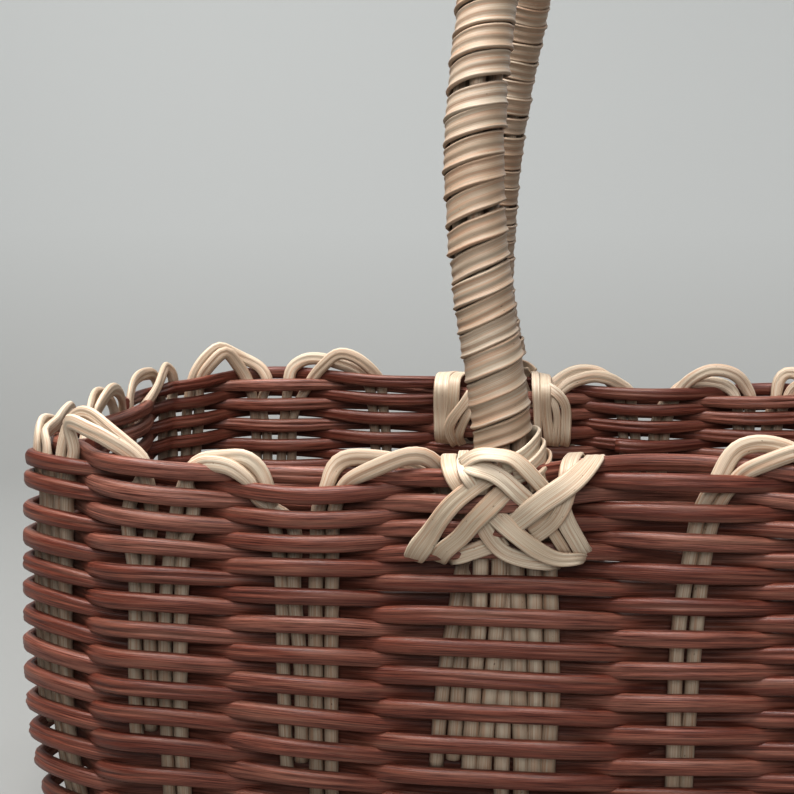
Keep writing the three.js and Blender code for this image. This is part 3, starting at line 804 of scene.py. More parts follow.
# For each group, both rods as points: the distance round the wall, which is negative before the middle of
# the front, the depth outside the wall's middle, and the height over the rim.
HAND_SET = {
    1: ([(69, 0, -3.4), (71.3, -0.6, 1.1), (74.4, -1.6, 5), (79, -2.2, 6.9), (86, -2.3, 6.7),
         (93, -1.6, 4.2), (98.5, -0.6, -1), (101, 0, -6)],
        [(74.4, 0.4, -4), (77, 1.6, -1.2), (82, 2.6, 1.6), (89, 2.9, 4.6), (96, 2.6, 6), (102, 1.6, 3.4),
         (105.5, 0.6, -2), (106.3, 0, -7)]),
    7: ([(375.5, 0, -7.5), (378, -0.6, -2.7), (380.5, -1.4, 1), (384.5, -2.2, 4), (389.5, -2.6, 5.4),
         (395, -2.6, 5.2), (399.8, -2.4, 3.1), (403.5, -1.6, 0.4), (406.5, -0.8, -3), (409, 0, -7.5)],
        [(382, 0.2, -8), (384, 0.8, -4.4), (387, 1.6, -2.2), (391, 2.2, -1.2), (396, 2.4, -0.8),
         (400.5, 2.2, -1), (404.8, 1.6, -2), (409, 0.8, -4.6), (412.5, 0, -8)]),
    8: ([(430.2, 0, -5), (434.4, -1, -2), (438, -1.8, 0.2), (442, -2.2, 1.5), (446.5, -2.4, 1.9),
         (451, -2.6, 0.9), (455.5, -3, -0.7), (459, -4, -2.8), (464.5, -4.8, -9)],
        [(436.5, 0, -3), (440, 1.4, 0.6), (444.3, 2, 3.1), (449.3, 2.2, 4), (454, 2, 3.7),
         (458, 1.4, 2.2), (461.5, 0.4, 0), (464.5, -1.2, -2.4), (468.5, -3.6, -9)]),
    10: ([(543.8, 0, -3.5), (545.5, -0.8, 0.3), (547.5, -1.6, 3), (550.3, -2.3, 5.8), (554, -2.6, 8.6),
         (558, -2.6, 10.4), (562, -2.6, 11), (565, -2.6, 10), (568, -2.4, 7.4), (572, -1.6, 3.4),
         (575.5, -0.6, -1), (578.7, 0, -6)],
        [(549.9, 0.2, -2.5), (553.2, 1.2, 1.5), (558.5, 2, 4.2), (565, 2.4, 6.2), (570, 2.5, 7.5),
         (574.5, 2.5, 8), (579, 2.2, 7.6), (582.8, 1.6, 5.8), (585.5, 0.8, 3.2), (586.8, 0.2, -1.1),
         (587.5, 0, -6)]),
    11: ([(597, 0, -2.5), (598.2, 0.4, 0.6), (600.7, 1, 3.6), (604.5, 1.4, 6), (608.5, 1.6, 8),
         (612.3, 1.6, 10.1), (616, 1.4, 12.2), (619.3, 1.2, 13.2), (622.6, 1, 11.7), (626.4, 0.8, 8.8),
         (629.6, 0.6, 5.4), (632.3, 0.2, 1.6), (634, 0, -3)],
        [(606.5, 0, -2.5), (609.2, -0.8, 2.6), (611.5, -1.6, 6), (614, -2.4, 9.4), (616.4, -3, 11.2),
         (619.1, -3.2, 10.7), (622.3, -2.8, 8.3), (625.6, -2, 5), (628.3, -1, 1.5), (630, 0, -3.5)]),
    12: ([(643, 0, -5), (643.5, -0.6, 0), (645.5, -1.4, 4.3), (650.3, -2.4, 6.2), (656, -3.2, 4.8),
         (661.5, -3.6, 1.7), (667.6, -3.4, -2), (673.5, -2.4, -5.4), (678, -0.8, -9.5)],
        [(652, 0.6, -5), (652.8, 1.6, 0), (655, 2.2, 3.2), (660.5, 2.4, 4.8), (668, 2.2, 5.3),
         (678.5, 1.4, 4.6), (686, 0.6, 1.5), (689.5, 0.1, -2.7), (690.5, 0, -7)]),
    13: ([(700, 0, -7), (703.3, -0.8, -1.5), (710, -1.8, 3), (718, -2.4, 5.8), (726, -2.6, 6.3),
         (732.4, -2.2, 4.2), (737, -1.2, 0.8), (740.5, 0, -4)],
        [(708, 0.6, -6), (711.5, 1.4, -0.4), (716, 2.2, 2.8), (722.8, 2.4, 4.8), (729.5, 2.2, 5.2),
         (736, 1.4, 3.7), (741, 0.6, 1), (744.5, 0, -3.5)]),
    14: ([(766, 0, -6), (767.5, -0.8, 0.5), (771, -1.8, 5), (776, -2.4, 7.2), (782, -2.4, 7),
         (789, -2.2, 5.8), (796, -1.8, 4.6), (802.5, -0.6, 3.4), (807, 0.6, 0.6), (808.5, 0.8, -5)],
        [(771.5, 0.2, -6), (774, 1.2, -0.8), (780, 2.2, 2.2), (787, 2.6, 4), (793, 2.8, 5),
         (798, 2.9, 4.6), (801.2, 2.9, 1.6), (802, 2.6, -4)]),
    15: ([(815.6, 0, -2), (816.8, -0.4, 3), (818.5, -1.2, 7.3), (821.2, -2, 10.2), (824.8, -2.4, 11.8),
         (828.5, -2.6, 12), (832, -2.6, 11.2), (835.5, -2.6, 9.6), (839.5, -2.4, 7.4), (843.5, -2.2, 4.9),
         (847.5, -2, 2), (850.5, -1.8, -0.6), (852.5, -1.6, -4)],
        [(824, 0.6, 0), (823.4, 1, 4), (822.9, 1.6, 7.2), (824, 2.2, 9.1), (827.4, 2.8, 9.8),
         (831.3, 3.2, 9.2), (835.2, 3.2, 8.1), (838.8, 3, 6.9), (842.2, 2.8, 5.2), (845.6, 2.4, 3.1),
         (848.6, 2, 0.8), (851, 1.8, -1.6), (853, 1.6, -5)]),
    16: ([(-99.8, 0, -5), (-96.8, 0.2, -1.8), (-91.6, 0.8, -0.3), (-86, 1.2, 0.3), (-82, 1.6, 0.3),
         (-78.6, 1.6, -1.5), (-75.8, 0.8, -5.2), (-74, 0.2, -10)],
        [(-101, 0.2, -8), (-98.4, 0.8, -3.8), (-95.4, 2, -2), (-91.2, 3, -1.6), (-86, 3.4, -2.6),
         (-82, 2.8, -5.2), (-79.3, 1.4, -8.4), (-78.2, 0.4, -12)]),
    17: ([(-54.9, -0.4, -8.5), (-53.4, -1.2, -4), (-50.6, -2, -0.8), (-46, -2.4, 0.4), (-40.3, -2.4, 0.2),
         (-33.5, -2.4, -0.6), (-27, -2.6, -2.6), (-20.5, -3.4, -7), (-15, -4.2, -14)],
        [(-49.6, 0.2, -9), (-47.6, 1.6, -6.6), (-43.5, 3.2, -4), (-38.5, 4, -1.6), (-33, 4.2, 0.8),
         (-27.6, 4.2, 2.5), (-23.6, 3.6, 2.2), (-20.2, 2.2, -0.2), (-17.4, -0.6, -6), (-15, -3.6, -16)]),
}
# Two rods go down behind a leg of the bow: millimetres from its middle, outwards, and over the rim.
BEHIND_HANDLE = [
    [(-10.6, -4.6, -26), (-10, -4.2, -40), (-10.3, -2.6, -54), (-11.6, -0.8, -66), (-12.6, 0, -82),
     (-13.7, 0, -98)],
    [(-11, -4.6, -26), (-11.6, -3.6, -36), (-13, -2, -46), (-15.2, -0.4, -60), (-17.6, 0, -80),
     (-19.2, 0, -101)],
]


def loop(rod, k, own, tuck):
    """A rod's way over the rim. By rule, a point's share of the loop's length and of its top become a
    distance and a height. A height below -1 is one under the rim, for the ends inside the wall."""
    if k in HAND_SET:
        points = np.array(HAND_SET[k][rod])
        turn_on = WHOLE_WAY if points[0, 0] < 0 else 0
        return [(s + turn_on, d, RIM + h) for s, d, h in points]
    points = []
    centre = LOOP_TOP[k] - ROD_R
    for share, depth, rise in (FIRST_ROD, SECOND_ROD)[rod]:
        along = own + share * (tuck - own)
        over = rise if rise < -1 else centre * rise
        points.append((along, depth, rim_top(along)[0] + over))
    return points


# %% Stakes
RISE_LEVELS = (STAKE_FOOT, 30, 62, 95, 120, RIM - 26)
FALL_LEVELS = (RIM - 34, RIM - 60)
BELOW_START = 7
BELOW_END = 8
TUCKS_APART = 3
STAKE_SWAY = 0.35
STAKE_STEP = 2.2
PRESSED = 0.34
SPREAD = 0.2


def stake_pair(k):
    """The two rods of a pair: up in group k, over the rim, and down in the next group. Each sways a little
    between the rows, and is pressed flat where it bends over the rim."""
    following = (k + 1) % COUNT
    end = GROUPS[following] + (WHOLE_WAY if following == 0 else 0)
    strands = []
    for rod, near in enumerate((-1, 1)):
        seed = 40 * k + rod
        own = GROUPS[k] + OWN[k] + near * PAIR
        tuck = end + TUCKED[following] + (-near if k in SWAPPED else near) * PAIR
        over = loop(rod, k, own + OWN_LEAN[k], tuck + TUCK_LEAN[following])
        sway = chance(seed, -STAKE_SWAY, STAKE_SWAY, 12)
        tip = RIM - TUCK_DEPTH[following] + TUCKS_APART * near
        up = (*RISE_LEVELS, over[0][2] - BELOW_START)
        down = (over[-1][2] - BELOW_END, *FALL_LEVELS, tip)
        rise = [(own + s + lean(OWN_LEAN[k], z), 0.25 * s, z) for s, z in zip(sway, up)]
        fall = [(tuck + s + lean(TUCK_LEAN[following], z), 0.25 * s, z) for s, z in zip(sway[7:], down)]
        if following in HANDLES:
            fall = [(end + x, d, RIM + h) for x, d, h in BEHIND_HANDLE[rod]]
        way = through(rise + over + fall, STAKE_STEP)
        along = np.linspace(0, 1, len(way))
        size = STAKE_R * (1 + 0.03 * wander(along, seed, (1, 3, 5))) * chance(seed + 3, 0.97, 1.05)
        above = ease((way[:, 2] - RIM + 9) / 8)
        press = 0.35 * wander(along, seed + 9, (2, 3, 7))
        creases = [(press, 0.15 + 0.25 * above, 0.3), (press - 0.7, 0.1 + 0.15 * above, 0.22)]
        profile = flat_rod(size * (1 - PRESSED * above), size * (1 + SPREAD * above), creases, square=2.15)
        tone = 0.45 + 0.15 * wander(along, seed + 8, (1, 2)) + chance(seed + 7, -0.2, 0.2)
        path = on_wall(way[:, 0], way[:, 1], way[:, 2])
        tone = np.clip(tone, 0, 1)
        strands.append(strand(path, wall_out(way[:, 0]), profile, tone=tone, shift=0.11 * seed))
    return strands


plain_groups = [k for k in range(COUNT) if k not in HANDLES]
for k in plain_groups:
    piece(f"stakes_{k:02d}", stake_pair(k), ROD, [f"stake_pair_{k:02d}"])
print("stakes:", len(plain_groups), "pairs")

# %% [markdown]
# The bow
#
# The bow is six peeled rods, bent over from the front wall to the back wall. Half an ellipse would be too
# narrow at its shoulders, so its middle line is a squarer arch, |y/b|^n + |z/h|^n = 1, and it sways
# sideways as the real bundle does. The rods keep their places in the bundle, and run down into both walls.

# %% The bow's middle line
BOW_RISE = 232.0
BOW_SQUARE = 2.4
SWAY_AT = [0, 0.02, 0.06, 0.107, 0.177, 0.34, 0.5, 0.66, 0.784, 0.863, 0.94, 0.984, 1]
SWAY = [1.2, -1.8, -6.8, -8.5, -5.2, 3.0, 8, 8.6, 5.9, -2.7, -8, -6.2, -2]
turn = np.linspace(0, 1, 2400)
cosine, sine = np.cos(np.pi * turn), np.sin(np.pi * turn)
arch = np.stack([
    bent(SWAY_AT, SWAY, turn),
    -np.sign(cosine) * np.abs(cosine) ** (2 / BOW_SQUARE) * HALF_DEPTH,
    GATHER + BOW_RISE * np.abs(sine) ** (2 / BOW_SQUARE),
], -1)
arch_way = np.concatenate([[0], np.cumsum(np.linalg.norm(np.diff(arch, axis=0), axis=1))])
BOW_LENGTH = arch_way[-1]
bow_way = np.linspace(0, BOW_LENGTH, 1200)
bow_line = np.stack([np.interp(bow_way, arch_way, arch[:, k]) for k in range(3)], -1)
bow_ahead = np.gradient(bow_line, bow_way, axis=0)
for _ in range(6):
    bow_ahead[1:-1] = (bow_ahead[:-2] + bow_ahead[1:-1] + bow_ahead[2:]) / 3
bow_ahead /= np.linalg.norm(bow_ahead, axis=1, keepdims=True)
bow_across = np.array([1.0, 0, 0]) - bow_ahead * bow_ahead[:, :1]
bow_across /= np.linalg.norm(bow_across, axis=1, keepdims=True)
bow_outside = np.cross(bow_across, bow_ahead)
print("bow:", round(BOW_LENGTH), "mm long")


def along_bow(way, values):
    """Values of the bow's line, read at a way along it."""
    return np.stack([np.interp(way, bow_way, values[:, k]) for k in range(3)], -1)


# %% Rods of the bow
LEG_END = RIM - 104.0
LONG_RODS = (2, 3)
LEG_LEVELS = np.array([-104, -98, -76, -54, -34])
LEG_X = np.array([
    [-8.5, -8.3, -7.1, -5.6, -5.2], [-3.7, -3.5, -1.8, 0.1, 0.8], [2.2, 2.3, 2.9, 3.7, 4.0],
    [8.5, 8.5, 7.6, 7.3, 6.2], [12.7, 12.7, 12.9, 12.4, 12.0], [17.0, 17.1, 18.3, 17.7, 16.8],
])
LEG_OUT = np.array([0.6, 0.6, -1.2, 0.4, 0.6, 0.5])
BACK_SPACING = 5.15


def bow_leg(index, side, heights):
    """A rod of the bow in the front wall (side -1), at the places read for it, or in the back wall, evenly
    spaced. Near the rim it goes to its place in the bundle by the shares stacked and drawn."""
    if side < 0:
        low, foot = np.interp(heights - RIM, LEG_LEVELS, LEG_X[index]), SWAY[0]
    else:
        low, foot = np.full_like(heights, (index - 2.5) * BACK_SPACING), SWAY[-1]
    x = low + (foot + SLOT_X[index] - low) * drawn(heights)
    flat = LEG_OUT[index] * ease((heights - RIM + 85) / 30) * (1 - stacked(heights))
    out = flat + SLOT_OUT[index] * stacked(heights)
    return np.stack([x, side * (HALF_DEPTH + out - wall_inset(heights)), heights], -1)


def bow_rod(index):
    """One rod: its leg in front, its place across and outside the bow's line, and its leg at the back."""
    foot = STAKE_FOOT if index in LONG_RODS else LEG_END
    heights = np.arange(foot, GATHER - 4, 2.5)
    way = np.arange(3.0, BOW_LENGTH - 3.0, 3.2)
    over = along_bow(way, bow_line) + along_bow(way, bow_across) * SLOT_X[index]
    over = over + along_bow(way, bow_outside) * SLOT_OUT[index]
    path = np.concatenate([bow_leg(index, -1, heights), over, bow_leg(index, 1, heights)[::-1]])
    level = np.tile([0.0, 1.0, 0.0], (len(heights), 1))
    outs = np.concatenate([-level, along_bow(way, bow_outside), level])
    along = np.linspace(0, 1, len(path))
    twist = 2 * np.pi * (chance(index, 0, 1) + 0.5 * wander(along, index, (1, 2)))
    profile = rod_profile(ROD_R, ROD_R * 1.02, sides=16, twist=twist, square=0.92)
    tone = 0.42 + chance(80 + index, -0.22, 0.22) + 0.1 * wander(along, 90 + index, (3, 7))
    return strand(path, outs, profile, tone=np.clip(tone, 0, 1), shift=0.31 * index)


for index in range(HANDLE_RODS):
    piece(f"bow_rod_{index + 1}", [bow_rod(index)], ROD, [f"handle_rod_{index + 1}"])
print("bow:", HANDLE_RODS, "rods")

# %% [markdown]
# The winding
#
# Flat cane is wound round the bow from end to end. A sleeve with a stripe texture would be lighter, but the
# eye catches the raised edges, the thin shadows between turns and the few places where they part and show
# the rods. So it is one strip of cane carried along a long spiral, whose turns slant and aren't quite even.

# %% Wind the bow
TURN_PITCH = 7.95
CANE_WIDTH = 7.7
CANE_THICK = 1.2
WIND_R = RING + ROD_R + 0.75
WIND_START = -1.2
TURNS = int((BOW_LENGTH + 4) / TURN_PITCH)
SLANT = 2.9
PARTED = [(0.128, 1.9), (0.2, 1.6), (0.365, 1.3), (0.62, 1.6), (0.81, 1.5)]
PARTED_OVER = 0.016


def winding():
    """Way along the bow grows with the turn, more where the turns part, and the strip stands on a circle
    of radius r square to the bow: centre + r (across cos a + outside sin a)."""
    turn = np.linspace(0, TURNS, TURNS * 30)
    share = turn / TURNS
    parted = sum(gap * ease((share - place) / PARTED_OVER + 0.5) for place, gap in PARTED)
    parted = parted - share * sum(gap for _, gap in PARTED)
    way = turn * TURN_PITCH + WIND_START + parted + 0.6 * wander(share, 3, (9, 17, 31, 43, 75))
    way = way + 0.16 * wander(share, 23, (190, 270, 350))
    angle = -2 * np.pi * turn + np.pi
    way = way + SLANT * (1 + np.cos(angle)) / 2
    held = np.clip(way, 0, BOW_LENGTH)
    centre = along_bow(held, bow_line) + along_bow(held, bow_ahead) * (way - held)[:, None]
    radial = along_bow(held, bow_across) * np.cos(angle)[:, None]
    radial = radial + along_bow(held, bow_outside) * np.sin(angle)[:, None]
    radius = WIND_R + 0.3 * wander(share, 7, (31, 47, 61, 83, 151))
    width = CANE_WIDTH * (1 + 0.05 * wander(share, 9, (11, 23, 37, 71)))
    tilt = 0.055 + 0.04 * wander(share, 15, (13, 29, 53, 97))
    fold = 0.16 * wander(share, 17, (5, 17, 43))
    press = 1.15 + 0.5 * wander(share, 19, (9, 21, 57, 83))
    profile = cane_profile(width, CANE_THICK, tilt, lip=0.3, fold=fold, press=press)
    tone = np.clip(0.5 + 0.24 * wander(share, 5, (7, 13, 29, 47)), 0, 1)
    return strand(centre + radial * radius[:, None], radial, profile, tone=tone, shift=0.7)


# the winding's cane colours carry painted shade for the weaker light on the bow
piece("bow_winding", [winding()], SHADED_WOUND, ["handle_winding"])
print("winding:", TURNS, "turns")

# %% [markdown]
# The lashing
#
# Flat cane ties the bow to the rim at each end. Outside, its strips weave a cross: the left ones climb to
# the right under the upper ones, which go down to the right under the broad one, and so on round. Some go
# over the rim and hang down inside, on both sides of the bow, and some go round its neck. No rule gives
# such a knot, and a simulated one wouldn't tie itself, so each strip has its points listed, with a bent
# rod through them. Seen from outside the basket, they are millimetres to the right of the bow's middle,
# outwards from the middle of the wall, and over the rim. The back end has the same strips, turned round.

# %% Strips of the lashing: width, or widths along it, and points
OUTSIDE = {
    "lower_left_one": ((6.6, 7.4, 6, 5.8, 5.8), [(-26.6, 1, -31.4), (-26.3, 5.6, -30.4),
        (-25, 8.6, -27.6), (-21.3, 11.1, -21.7), (-18.2, 13.1, -16.6), (-12.9, 14.6, -9.7),
        (-7.9, 14.3, -5.6), (-3.6, 13.3, -2.8), (-0.7, 12.4, -1)]),
    "lower_left_two": (6.3, [(-19, 1, -31.4), (-18.6, 5.6, -30.4), (-17, 8.8, -27.4),
        (-11.6, 11.2, -22.1), (-7.7, 13.2, -17), (-2.7, 14.7, -11.4), (1.8, 13.5, -7.1),
        (4.3, 12.4, -5.2)]),
    "lower_left_three": (5.6, [(2.6, 9, -22), (-1.1, 8.6, -24.3), (-4.9, 8.2, -26), (-9.1, 7.9, -27.6),
        (-13.4, 6.4, -29.4), (-15.6, 2, -31)]),
    "lower_right_one": ((6.2, 6.2, 6, 4.6, 3), [(-4.4, 12, -10.6), (0.2, 12.6, -14.8), (3.6, 12.6, -18),
        (8.7, 11.8, -22.4), (14.6, 10.6, -26.5), (20.5, 9.8, -28.5), (24.8, 9, -28.4), (27, 6.2, -28.8),
        (28, 1.5, -29.8)]),
    "lower_right_two": (5.4, [(-6.4, 11.6, -14.4), (-4, 11.3, -18.2), (-1.4, 10.2, -22.8),
        (1.9, 9.3, -26.4), (6.6, 9, -28.5), (12.1, 8.5, -29.6), (17, 6.8, -30.2), (20.4, 2, -31.4)]),
    "upper_arch": (4.9, [(-10.8, 11.6, 1.4), (-8.8, 12.9, 3.2), (-4.9, 14.4, 5.1), (-0.3, 14.7, 5.1),
        (4.2, 14.7, 4.3), (8.2, 14.6, 1.4), (11.7, 13.8, -2.3), (15.1, 12.6, -6.2)]),
    "upper_fold": (5.8, [(-9, 13, 1.4), (-6.6, 14.4, 1), (-3.2, 14.9, 0.2), (1, 15.1, -1.7),
        (4.7, 14.8, -4.8), (8.5, 13.7, -8.4), (11.9, 12.4, -11.4)]),
    "far_down_one": (4.7, [(22.6, 10.2, -1.8), (22.2, 11.9, -4.9), (20.8, 13.6, -10.1),
        (18.2, 13.3, -15.1), (15.3, 11.7, -18.5), (12, 10.2, -21.4), (9.1, 9, -23.7)]),
    "far_down_two": (3.2, [(20.7, 13.1, -4.4), (19.1, 13.2, -8.6), (16.5, 12.8, -13), (13.2, 11.8, -16.4),
        (9.9, 10.6, -18.9)]),
    "far_foot_one": (5.8, [(18.6, 12.4, -7), (20.3, 12.2, -12.4), (22, 11.4, -17), (24.5, 10, -21.6),
        (26.6, 8, -25.6), (27.6, 5, -27.4), (28, 0.4, -28.4)]),
    "far_foot_two": (3.8, [(16, 11.2, -16.4), (17.4, 10.5, -19.4), (19.4, 9.5, -22.9), (21.4, 8.1, -26.6),
        (22.6, 5.2, -29.8), (23.2, 0.6, -31.2)]),
}
OVER_RIM = {
    "broad_one": (6.9, [(1.6, 9.4, -20.2), (3.4, 10.9, -18.5), (6.1, 12.1, -16.3), (10.2, 14.4, -12.4),
        (14.6, 15.2, -8.6), (18.6, 15, -5.8), (22.4, 14, -3.2), (25.6, 11.2, -0.9), (28.4, 6.2, 1),
        (30.2, -0.4, 1.6), (30.8, -7, 0.8), (31, -11.4, -2), (31.2, -11.6, -8), (31.2, -9.8, -17),
        (31, -7.8, -26), (30.9, -3, -29)]),
    "near_one": (5.2, [(-8.6, 12.2, -9.6), (-11.1, 13, -5.8), (-13.2, 13, -3), (-14.7, 10.7, -0.2),
        (-15.5, 5.4, 0.8), (-15.9, -2, 0.8), (-15.9, -9, -0.2), (-16, -12.4, -2), (-16.2, -12.2, -12),
        (-17.4, -9.8, -22), (-18.1, -7.9, -27), (-18.3, -3, -29.6)]),
    "near_two": (3.8, [(-6.4, 12.9, -6.8), (-8, 14.6, -3.8), (-9.4, 14.9, -1.8), (-10.5, 12.8, 0.3),
        (-11, 7, 1.6), (-11.2, -2.6, 1.8), (-11.4, -9, 0.9), (-11.6, -12.4, -2), (-12.3, -12.2, -12),
        (-12.8, -9, -25), (-12.9, -3, -29.6)]),
    "middle_one": (5.6, [(21, 9.8, -6.2), (21.4, 10.2, -3.2), (21.8, 9, -0.4), (22.6, 4, 1.4),
        (24, -4.6, 1.6), (25, -10.4, 0.2), (25.4, -12.2, -4.5), (26, -11.4, -11), (27.2, -9.8, -17.5),
        (28.6, -8, -25), (29, -3, -29.4)]),
}
INSIDE = {
    "slant_one": (5, [(17.4, -11.9, -5), (20.2, -12.9, -9.5), (24.8, -12.5, -15.7), (27.4, -11, -21.9),
        (26.2, -8.6, -27), (24.8, -3.4, -30)]),
    "slant_two": (4.4, [(16.6, -11.6, -10.6), (18.8, -12.1, -14.5), (21.5, -11, -20.1), (23, -9.4, -24.6),
        (21.8, -3.4, -30)]),
    "bowed_one": (4.8, [(-16.2, -11.4, -1.6), (-19.6, -13, -3.6), (-24, -12.8, -8.3),
        (-25.4, -10.6, -18.2), (-25.2, -8.2, -26.4), (-24.8, -3.2, -29.6)]),
    "bowed_two": (3.6, [(-17.8, -12.4, -4.4), (-19.6, -12.6, -8.6), (-21.4, -10.9, -18), (-21, -8, -27),
        (-20.8, -3.2, -29.8)]),
}
ROUND_NECK = {
    "neck_one": (6, [(1.5, 13, 1.2), (5, 12.3, 2.4), (9, 10.3, 4.8), (11.7, 5.4, 7.4), (12.2, -0.6, 8.6),
        (9.6, -7.2, 7.8), (3.6, -10.8, 6.4), (-3, -11, 5.4)]),
    "neck_two": (6, [(5, 12.8, -1.4), (9.2, 11.9, -0.2), (12.6, 9, 2.2), (14, 4, 4.2), (13.8, -2, 5),
        (9.8, -8.8, 4.2), (2.6, -12.2, 3.2), (-5, -12, 2.6)]),
    "neck_three": (5.6, [(9.6, 12.2, -4.6), (13, 10.8, -3), (15.4, 7, -0.6), (16, 2, 0.8), (15, -4, 1.4),
        (10.4, -9.8, 0.8), (3, -12.8, 0.2), (-5, -12.6, 0)]),
}
RIM_CORE = -7.0
NECK_X = 1.2
NECK_RISE = 0.12


# %% Tie the lashing
def lashing_strip(width, points, faces_neck, side, seed):
    """A strip of flat cane along its points. Its face looks away from a line inside the rim, or from the
    neck of the bow."""
    local = through(points, 0.8)
    x, depth, level = local.T
    if faces_neck:
        away = np.stack([x - NECK_X, depth, np.full_like(x, NECK_RISE)], -1)
    else:
        away = np.stack([np.zeros_like(x), depth, level - np.minimum(level, RIM_CORE)], -1)
    turned = np.array([-side, side, 1.0])
    path = np.stack([x, depth + HALF_DEPTH, level + RIM], -1) * turned
    share = np.linspace(0, 1, len(path))
    wide = np.interp(share, np.linspace(0, 1, np.size(width)), np.ravel(width))
    wide = wide * (1 + 0.05 * wander(share, seed, (1, 2, 3)))
    tilt = 0.1 * wander(share, seed + 2, (1, 2))
    fold = 0.1 * wander(share, seed + 3, (1, 2, 3))
    press = 0.9 * ease(0.35 + 0.6 * wander(share, seed + 6, (1, 2, 3)))
    profile = cane_profile(wide, CANE_THICK, tilt, lip=0.0, fold=fold, press=press)
    tone = 0.62 + chance(seed + 4, -0.22, 0.22) + 0.15 * wander(share, seed + 5, (1, 2))
    return strand(path, away * turned, profile, tone=np.clip(tone, 0, 1), shift=0.07 * seed)


LASHING = (
    ("cross", OUTSIDE, "diagonal", ("under", "over")), ("over_rim", OVER_RIM, "strap", ("near", "far")),
    ("inside", INSIDE, "strap", ("near", "far")), ("neck", ROUND_NECK, "strap", ("near", "far")),
)
for side, end in ((-1, "front"), (1, "back")):
    for part, (name, strips, kind, which) in enumerate(LASHING):
        made = [
            lashing_strip(width, points, strips is ROUND_NECK, side, 11 * i + 3 * part + 50)
            for i, (width, points) in enumerate(strips.values())
        ]
        nodes = [f"lashing_{kind}_{each}_{end}" for each in which]
        piece(f"lashing_{name}_{end}", made, CANE, nodes)
print("lashing:", sum(len(strips) for _, strips, _, _ in LASHING), "strips at each end")

# %% [markdown]
# The base
#
# Under such a basket, sticks run from end to end, and a thin rod goes back and forth across them, over one
# stick and under the next, with its rows pushed close. A slab with a woven texture would do from far, but
# the base shows from above, where the light falls into the weave. So it is one long rod that waves across
# seven sticks, cos (pi y / gap) high, the other way in each row, with a half circle at the end of each row.

# %% Weave the base
STICK_R = 1.95
STICKS = 7
STICK_GAP = 21.0
BASE_MIDDLE = 5.2
BASE_EDGE = wall_inset(BASE_MIDDLE) + ROD_R + 0.8
BASE_HALF_X = HALF_LENGTH - BASE_EDGE
BASE_HALF_Y = HALF_DEPTH - BASE_EDGE
BASE_CORNER = CORNER - BASE_EDGE
BASE_THICK = 1.15
BASE_WIDE = 2.35
BASE_PITCH = 4.5
TURN_ROOM = 2.2
UP = np.array([[0.0, 0.0, 1.0]])


def base_reach(x):
    """Half width of the base across a place: full, less the corner's quarter round near the ends."""
    into = np.clip(np.abs(x) - (BASE_HALF_X - BASE_CORNER), 0, BASE_CORNER)
    return BASE_HALF_Y - BASE_CORNER + np.sqrt(BASE_CORNER ** 2 - into ** 2)


def base_weaver():
    """A path that crosses the base in each row, over and under the sticks, and turns at the row's end."""
    rows = int(2 * (BASE_HALF_X - 2) / BASE_PITCH)
    places = (np.arange(rows) - (rows - 1) / 2) * BASE_PITCH
    bend = np.linspace(0, np.pi, 7)[1:-1]
    points = []
    for i, x in enumerate(places):
        way = 1 if i % 2 == 0 else -1
        reach = base_reach(np.clip(x + BASE_PITCH / 2, -BASE_HALF_X, BASE_HALF_X)) - TURN_ROOM
        y = np.linspace(-reach, reach, 61) * way
        wave = np.cos(np.pi * y / STICK_GAP) * way
        height = BASE_MIDDLE + (STICK_R + BASE_THICK) * np.sign(wave) * np.abs(wave) ** 0.8
        wobble = 0.25 * wander(y / 170 + 0.5, i, (1, 2, 4))
        points.append(np.stack([x + wobble, y, height], -1))
        turn_x = x + BASE_PITCH / 2 * (1 - np.cos(bend))
        turn_y = (reach + TURN_ROOM * np.sin(bend)) * way
        points.append(np.stack([turn_x, turn_y, np.full_like(bend, height[-1])], -1))
    return np.concatenate(points)


path = base_weaver()
along = np.linspace(0, 1, len(path))
profile = rod_profile(BASE_THICK, BASE_WIDE, sides=12, twist=6 * along, square=0.85)
tone = np.clip(0.45 + 0.3 * wander(along, 21, (5, 11, 23)), 0, 1)
woven = strand(path, np.repeat(UP, len(path), 0), profile, tone=tone)
piece("base_weave", [woven], ROD, ["base_panel"])
for i in range(STICKS):
    line = np.linspace(-BASE_HALF_X + 1, BASE_HALF_X - 1, 60)
    y = (i - STICKS // 2) * STICK_GAP + 0.3 * wander(line / 300, i)
    path = np.stack([line, y, np.full_like(line, BASE_MIDDLE)], -1)
    profile = rod_profile(STICK_R, STICK_R, sides=14, twist=i, square=0.92)
    stick = strand(path, np.repeat(UP, len(path), 0), profile, tone=0.4)
    piece(f"base_rod_{i + 1}", [stick], ROD, [f"base_stick_{i + 1}"])
print("base:", STICKS, "sticks")

# %% [markdown]
# The foot
#
# Round the foot lies a plait of three dark weavers, outside the stakes, which the basket stands on. A plain
# ring would look like a tyre. Three closed strands that wind round one middle line, a third of a turn
# apart, have the look of the plait and cost little.

# %% Plait the foot
FOOT_OUT = ROD_R + 3.2
FOOT_TURNS = 34
FOOT_ROD_DEPTH = 2.0
FOOT_ROD_HEIGHT = 2.3
FOOT_LEVEL = 4.8
FOOT_DEPTH_WAVE = 1.1
FOOT_HEIGHT_WAVE = 2.45


